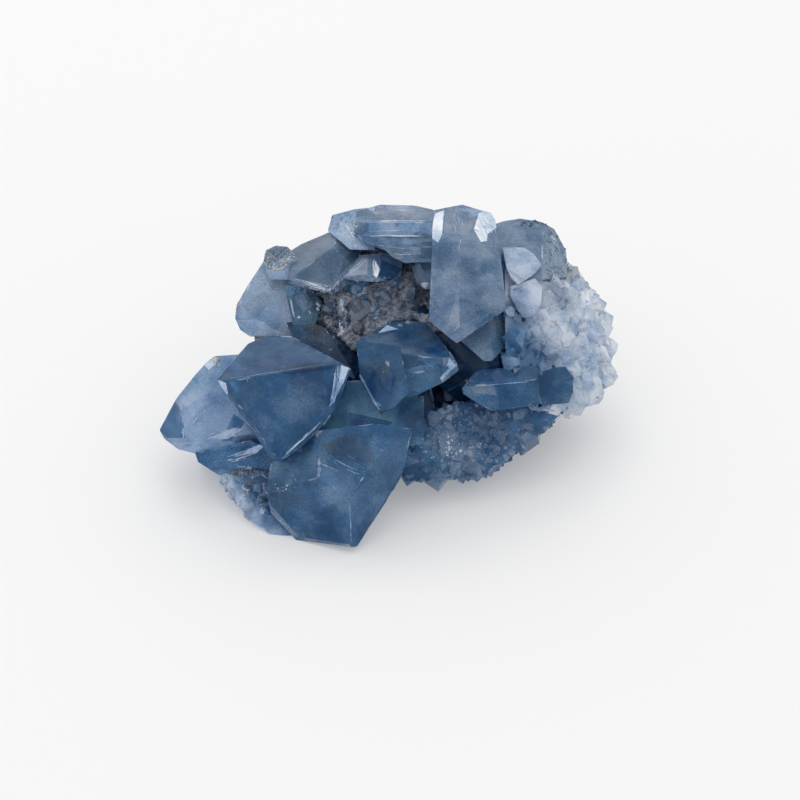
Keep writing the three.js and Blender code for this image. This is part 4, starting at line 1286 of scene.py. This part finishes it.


# Soft clouds of other hazes over a haze, some of them painted shade and painted light
def clouds_and_painted_light_group():
    tree, nodes, given, result = new_group("clouds_and_painted_light", {"Where": "Vector", "Haze": "Color"}, {"Color": "Color"})
    swirl = nodes.noise(SWIRLS, given["Where"], "Color")
    drift = nodes.add("VectorMath", {0: swirl, 1: NOISE_MIDDLE}, operation="SUBTRACT").outputs[0]
    push = nodes.add("VectorMath", {0: drift, "Scale": 2 * CLOUD_WARP}, operation="SCALE").outputs[0]
    warped = nodes.add("VectorMath", {0: given["Where"], 1: push}, operation="ADD").outputs[0]
    haze = given["Haze"]
    for owner, middle, reach, cloud_haze, share in CLOUDS_AND_PAINTED_LIGHT:
        spot = first_met(large[owner], *middle)[0]
        apart = nodes.add("VectorMath", {0: warped, 1: spot}, operation="DISTANCE").outputs["Value"]
        cover = nodes.spread(apart, (reach * MM, reach * MM * CLOUD_CORE), (0, share))
        haze = nodes.mix(cover, haze, (*HAZES[cloud_haze], 1))
    nodes.feed(result["Color"], haze)
    return tree


# Darker depths, bright wisps, grown blocks and fine specks in a haze
def depths_group():
    tree, nodes, given, result = new_group(
        "depths", {"Where": "Vector", "Haze": "Color", "Wisps": "Float"}, {"Color": "Color"},
    )
    where, haze = given["Where"], given["Haze"]
    depth = nodes.spread(nodes.noise(DEPTHS, where), DEPTH_SPAN)
    dark = nodes.mix(depth, haze, DEPTH_SHADE, "MULTIPLY")
    bright = nodes.mix(1.0, haze, WISP_LIGHT, "SCREEN")
    wisp = nodes.spread(nodes.noise(WISPS, where), WISP_SPAN, (0, given["Wisps"]))
    colour = nodes.mix(wisp, dark, bright)
    blocks = nodes.add("TexVoronoi", {"Vector": where, "Scale": GROWN_BLOCKS, "Randomness": 1.0})
    draw = nodes.add("SeparateColor", {"Color": blocks.outputs["Color"]}).outputs[0]
    tone = nodes.spread(draw, (0, 1), BLOCK_TONES)
    colour = nodes.mix(1.0, colour, tone, "OVERLAY")
    speck = nodes.spread(nodes.noise(SPECKS, where), SPECK_SPAN, SPECK_TONES)
    nodes.feed(result["Color"], nodes.mix(1.0, colour, speck, "OVERLAY"))
    return tree


# Uneven polish and a fine ripple
def polish_group():
    tree, nodes, given, result = new_group(
        "polish", {"Where": "Vector", "Smoothest": "Float", "Roughest": "Float"},
        {"Roughness": "Float", "Height": "Float"},
    )
    where = given["Where"]
    limits = (given["Smoothest"], given["Roughest"])
    rough = nodes.spread(nodes.noise(UNEVEN_POLISH, where), POLISH_SPAN, limits)
    nodes.feed(result["Roughness"], rough)
    ripple = nodes.math("ADD", nodes.noise(RIPPLES, where), nodes.noise(FINE_RIPPLES, where))
    nodes.feed(result["Height"], ripple)
    return tree


def crystal_material(name, finish):
    material, nodes, output = new_material(name)
    where = nodes.add("TexCoord").outputs["Object"]
    # The haze in the vertex colours also carries the painted shade, painted reflections and painted glints
    haze = nodes.add("VertexColor", layer_name="haze").outputs["Color"]
    if finish["clouds_and_painted_light"]:
        haze = nodes.add("Group", {"Where": where, "Haze": haze}, node_tree=groups["clouds_and_painted_light"]).outputs[0]
    depths = nodes.add(
        "Group", {"Where": where, "Haze": haze, "Wisps": finish["wisps"]}, node_tree=groups["depths"],
    )
    smoothest, roughest = finish["rough"]
    polish = nodes.add(
        "Group", {"Where": where, "Smoothest": smoothest, "Roughest": roughest}, node_tree=groups["polish"],
    )
    relief = nodes.add("Bump", {
        "Strength": finish["bump"], "Distance": RIPPLE_DEPTH, "Height": polish.outputs["Height"],
    })
    shader = nodes.add("BsdfPrincipled", {
        "Base Color": depths.outputs["Color"], "Roughness": polish.outputs["Roughness"],
        "IOR": CRYSTAL_IOR, "Transmission Weight": finish["transmission"],
        "Specular Tint": finish["sheen"], "Normal": relief.outputs[0],
    })
    volume = nodes.add("VolumeAbsorption", {"Color": finish["absorption"], "Density": finish["density"]})
    nodes.feed(output.inputs["Surface"], shader.outputs[0])
    nodes.feed(output.inputs["Volume"], volume.outputs[0])
    return material


def rock_material():
    material, nodes, output = new_material("rock")
    where = nodes.add("TexCoord").outputs["Object"]
    coarse = nodes.noise(ROCK_COARSE, where)
    fine = nodes.noise(ROCK_FINE, where)
    colour = nodes.mix(nodes.spread(coarse, ROCK_SPAN), ROCK_DARK, ROCK_LIGHT)
    colour = nodes.mix(nodes.spread(fine, GLINT_SPAN, GLINT_SHARE), colour, ROCK_GLINT)
    rough = nodes.spread(fine, ROCK_ROUGH_SPAN, ROCK_ROUGHNESS)
    height = nodes.math("ADD", coarse, nodes.math("MULTIPLY", fine, ROCK_FINE_SHARE))
    relief = nodes.add("Bump", {"Strength": ROCK_BUMP, "Distance": ROCK_RELIEF, "Height": height})
    shader = nodes.add("BsdfPrincipled", {
        "Base Color": colour, "Roughness": rough, "Normal": relief.outputs[0],
    })
    nodes.feed(output.inputs["Surface"], shader.outputs[0])
    return material


def table_material():
    material, nodes, output = new_material("white_table")
    shader = nodes.add("BsdfPrincipled", {
        "Base Color": TABLE_COLOUR, "Roughness": TABLE_ROUGHNESS, "Emission Color": (1, 1, 1, 1),
        "Emission Strength": TABLE_GLOW,
    })
    nodes.feed(output.inputs["Surface"], shader.outputs[0])
    return material


# One solid from crystals that grow into each other, cut flat below and behind, and by the cutters
def grown_together(crystals, sprouts, cutters, name, material):
    meshes = [mesh_from(cut_crystal(crystal), "crystal") for crystal in crystals]
    meshes.extend(mesh_from(cut_crystal(crystal, SPROUT_BLOCK, SPROUT_EDGE), "sprout") for crystal in sprouts)
    whole = grown_into_one(meshes, name + "_grown")
    back = Vector((0, math.cos(ROOT_SLOPE), -math.sin(ROOT_SLOPE)))
    cuts = [block_beyond(Vector(), DOWN), block_beyond(VIEW_MIDDLE + back * ROOT_REACH, back)]
    piece = dressed(joined(whole, cuts + cutters, "DIFFERENCE", name), name, material)
    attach(piece, "root")
    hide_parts("crystals")
    return piece


def make_crystals():
    clear = [crystal for name, crystal in large.items() if name not in MILKY_BEDS]
    milky = [large[name] for name in MILKY_BEDS]
    space = [mesh_from(cut_crystal(crystal, worn=0, grown=HAIRLINE), "space") for crystal in clear]
    clear_sprouts = []
    milky_sprouts = []
    for layout in CRUSTS + FINE_CRUSTS:
        (milky_sprouts if layout["bed"] in MILKY_BEDS else clear_sprouts).extend(crust(**layout))
    glassy = crystal_material("glassy_crystal", CLEAR)
    frosted = crystal_material("frosted_crystal", MILKY)
    return [
        grown_together(clear, clear_sprouts, chips(), "celestite", glassy),
        grown_together(milky, milky_sprouts, space + chips(), "druse", frosted),
    ]


# The bright cracks, broken places and painted glints, all in one piece
def make_fractures():
    solid = grown_into_one(broken_places_and_glints() + cracks(), "fractures_and_glints")
    piece = dressed(solid, "fractures_and_glints", crystal_material("broken_crystal_and_glints", BROKEN))
    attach(piece, "root")
    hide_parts("crystals")


# A rough grain, flattened on one side
def grain(spot, outward, size, tone, seed):
    drift = Vector((seed, seed * GRAIN_DRIFT, 0))
    bm = ragged_ball(2 if size > BIG_GRAIN else 1, GRAIN_RAGGED, GRAIN_WAVES, drift)
    draw = chances(seed + 1, 3)
    turn = outward.to_track_quat("Z", "Y").to_matrix().to_4x4()
    spin = Matrix.Rotation(draw[0] * math.tau, 4, "Z")
    girth = Matrix.Diagonal((1, between(GRAIN_WIDTH, draw[1]), between(GRAIN_HEIGHT, draw[2]), 1))
    place = Matrix.Translation(spot - outward * size * GRAIN_SINK)
    bmesh.ops.transform(bm, matrix=place @ turn @ spin @ girth @ Matrix.Scale(size, 4), verts=bm.verts)
    fill_with_haze(bm, tone)
    return mesh_from(bm, "grain")


# Grains on whatever the eye sees in each patch, grown together in one piece
def make_grit(surfaces):
    trees = []
    for piece in surfaces:
        bm = shape_from(piece.data)
        trees.append(BVHTree.FromBMesh(bm))
        bm.free()
    grains = []
    for number, (middle, reach, count, sizes, hazes) in enumerate(GRIT_AND_GLINTS):
        for i in range(count):
            seed = number * GRIT_SEEDS + i * CHANCES_EACH
            draw = chances(seed + 1, 3)
            ring = math.sqrt(draw[0])
            turn = draw[1] * math.tau
            across = middle[0] + math.cos(turn) * ring * reach[0]
            up = middle[1] + math.sin(turn) * ring * reach[1]
            hits = [tree.ray_cast(EYE, sight_through(across, up)) for tree in trees]
            hits = [hit for hit in hits if hit[0] is not None]
            if not hits:
                continue
            spot, outward = min(hits, key=lambda hit: hit[3])[:2]
            size = between(sizes, draw[2] ** 2) * MM
            if spot.z > size:
                grains.append(grain(spot, outward, size, hazes[i % len(hazes)], seed))
    whole = grown_into_one(grains, "grains")
    solid = joined(whole, [block_beyond(Vector(), DOWN)], "DIFFERENCE", "grit_and_glints")
    piece = dressed(solid, "grit_and_glints", crystal_material("gritty_crystal", GRITTY))
    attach(piece, "root")
    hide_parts("matrix")


# The rock's solid with a grainy surface: lumps, pits and crumbs
def make_rock():
    bm = shape_from(frame["nodes"]["matrix"].data)
    bmesh.ops.remove_doubles(bm, verts=bm.verts, dist=TINY)
    solid = piece_from(mesh_from(bm, "solid"), "solid")
    remesh = solid.modifiers.new("grains", "REMESH")
    remesh.mode = "VOXEL"
    remesh.voxel_size = ROCK_GRID
    rock = finished_mesh(solid)
    bpy.data.objects.remove(solid)
    bm = shape_from(rock)
    bm.normal_update()
    moves = []
    for corner in bm.verts:
        lump = noise.fractal(corner.co * ROCK_LUMP_WAVES, 1.0, 2.0, ROCK_LUMP_OCTAVES)
        crumb = noise.voronoi(corner.co * ROCK_CRUMB_WAVES)[0][0] - ROCK_CRUMB_MIDDLE
        moves.append(corner.normal * (lump * ROCK_LUMPS + crumb * ROCK_CRUMBS - ROCK_SINK))
    for corner, move in zip(bm.verts, moves):
        corner.co += move
        corner.co.z = max(corner.co.z, 0)
    rock.clear_geometry()
    bm.to_mesh(rock)
    bm.free()
    piece = dressed(rock, "rock", rock_material())
    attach(piece, "root")
    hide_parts("matrix")
    return piece


def make_room():
    bm = bmesh.new()
    bmesh.ops.create_grid(bm, x_segments=1, y_segments=1, size=TABLE_REACH)
    floor = piece_from(mesh_from(bm, "floor"), "floor")
    floor.data.materials.append(table_material())
    world = bpy.data.worlds.new("room")
    world.use_nodes = True
    nodes = Nodes(world.node_tree)
    direction = nodes.add("TexCoord").outputs["Generated"]
    towards = nodes.add("VectorMath", {0: direction, 1: BRIGHT_SIDE}, operation="DOT_PRODUCT")
    glow = nodes.spread(towards.outputs["Value"], SKY_SPAN, SKY_GLOW)
    sky = nodes.add("Background", {"Color": (1, 1, 1, 1), "Strength": glow})
    output = nodes.add("OutputWorld")
    nodes.feed(output.inputs["Surface"], sky.outputs[0])
    bpy.context.scene.world = world


def make_window():
    light = bpy.data.lights.new("window", "AREA")
    light.shape = "DISK"
    light.size = WINDOW_SIZE
    light.energy = WINDOW_POWER
    lamp = bpy.data.objects.new("window", light)
    lamp.location = WINDOW_PLACE
    lamp.rotation_euler = (VIEW_MIDDLE - WINDOW_PLACE).to_track_quat("-Z", "Y").to_euler()
    bpy.context.scene.collection.objects.link(lamp)


def make_camera():
    camera = bpy.data.cameras.new("camera")
    camera.sensor_width = FILM_WIDTH
    camera.lens = LENS
    camera.clip_start = NEAREST_SEEN
    holder = bpy.data.objects.new("camera", camera)
    holder.location = EYE
    holder.rotation_euler = (math.pi / 2 - LOOK_DOWN, 0, 0)
    bpy.context.scene.collection.objects.link(holder)
    bpy.context.scene.camera = holder


bpy.context.scene.view_settings.view_transform = "Standard"
large = {name: large_crystal(name, drawing) for name, drawing in LARGE_CRYSTALS.items()}
groups = {"clouds_and_painted_light": clouds_and_painted_light_group(), "depths": depths_group(), "polish": polish_group()}
make_camera()
make_grit([*make_crystals(), make_rock()])
make_fractures()
make_room()
make_window()
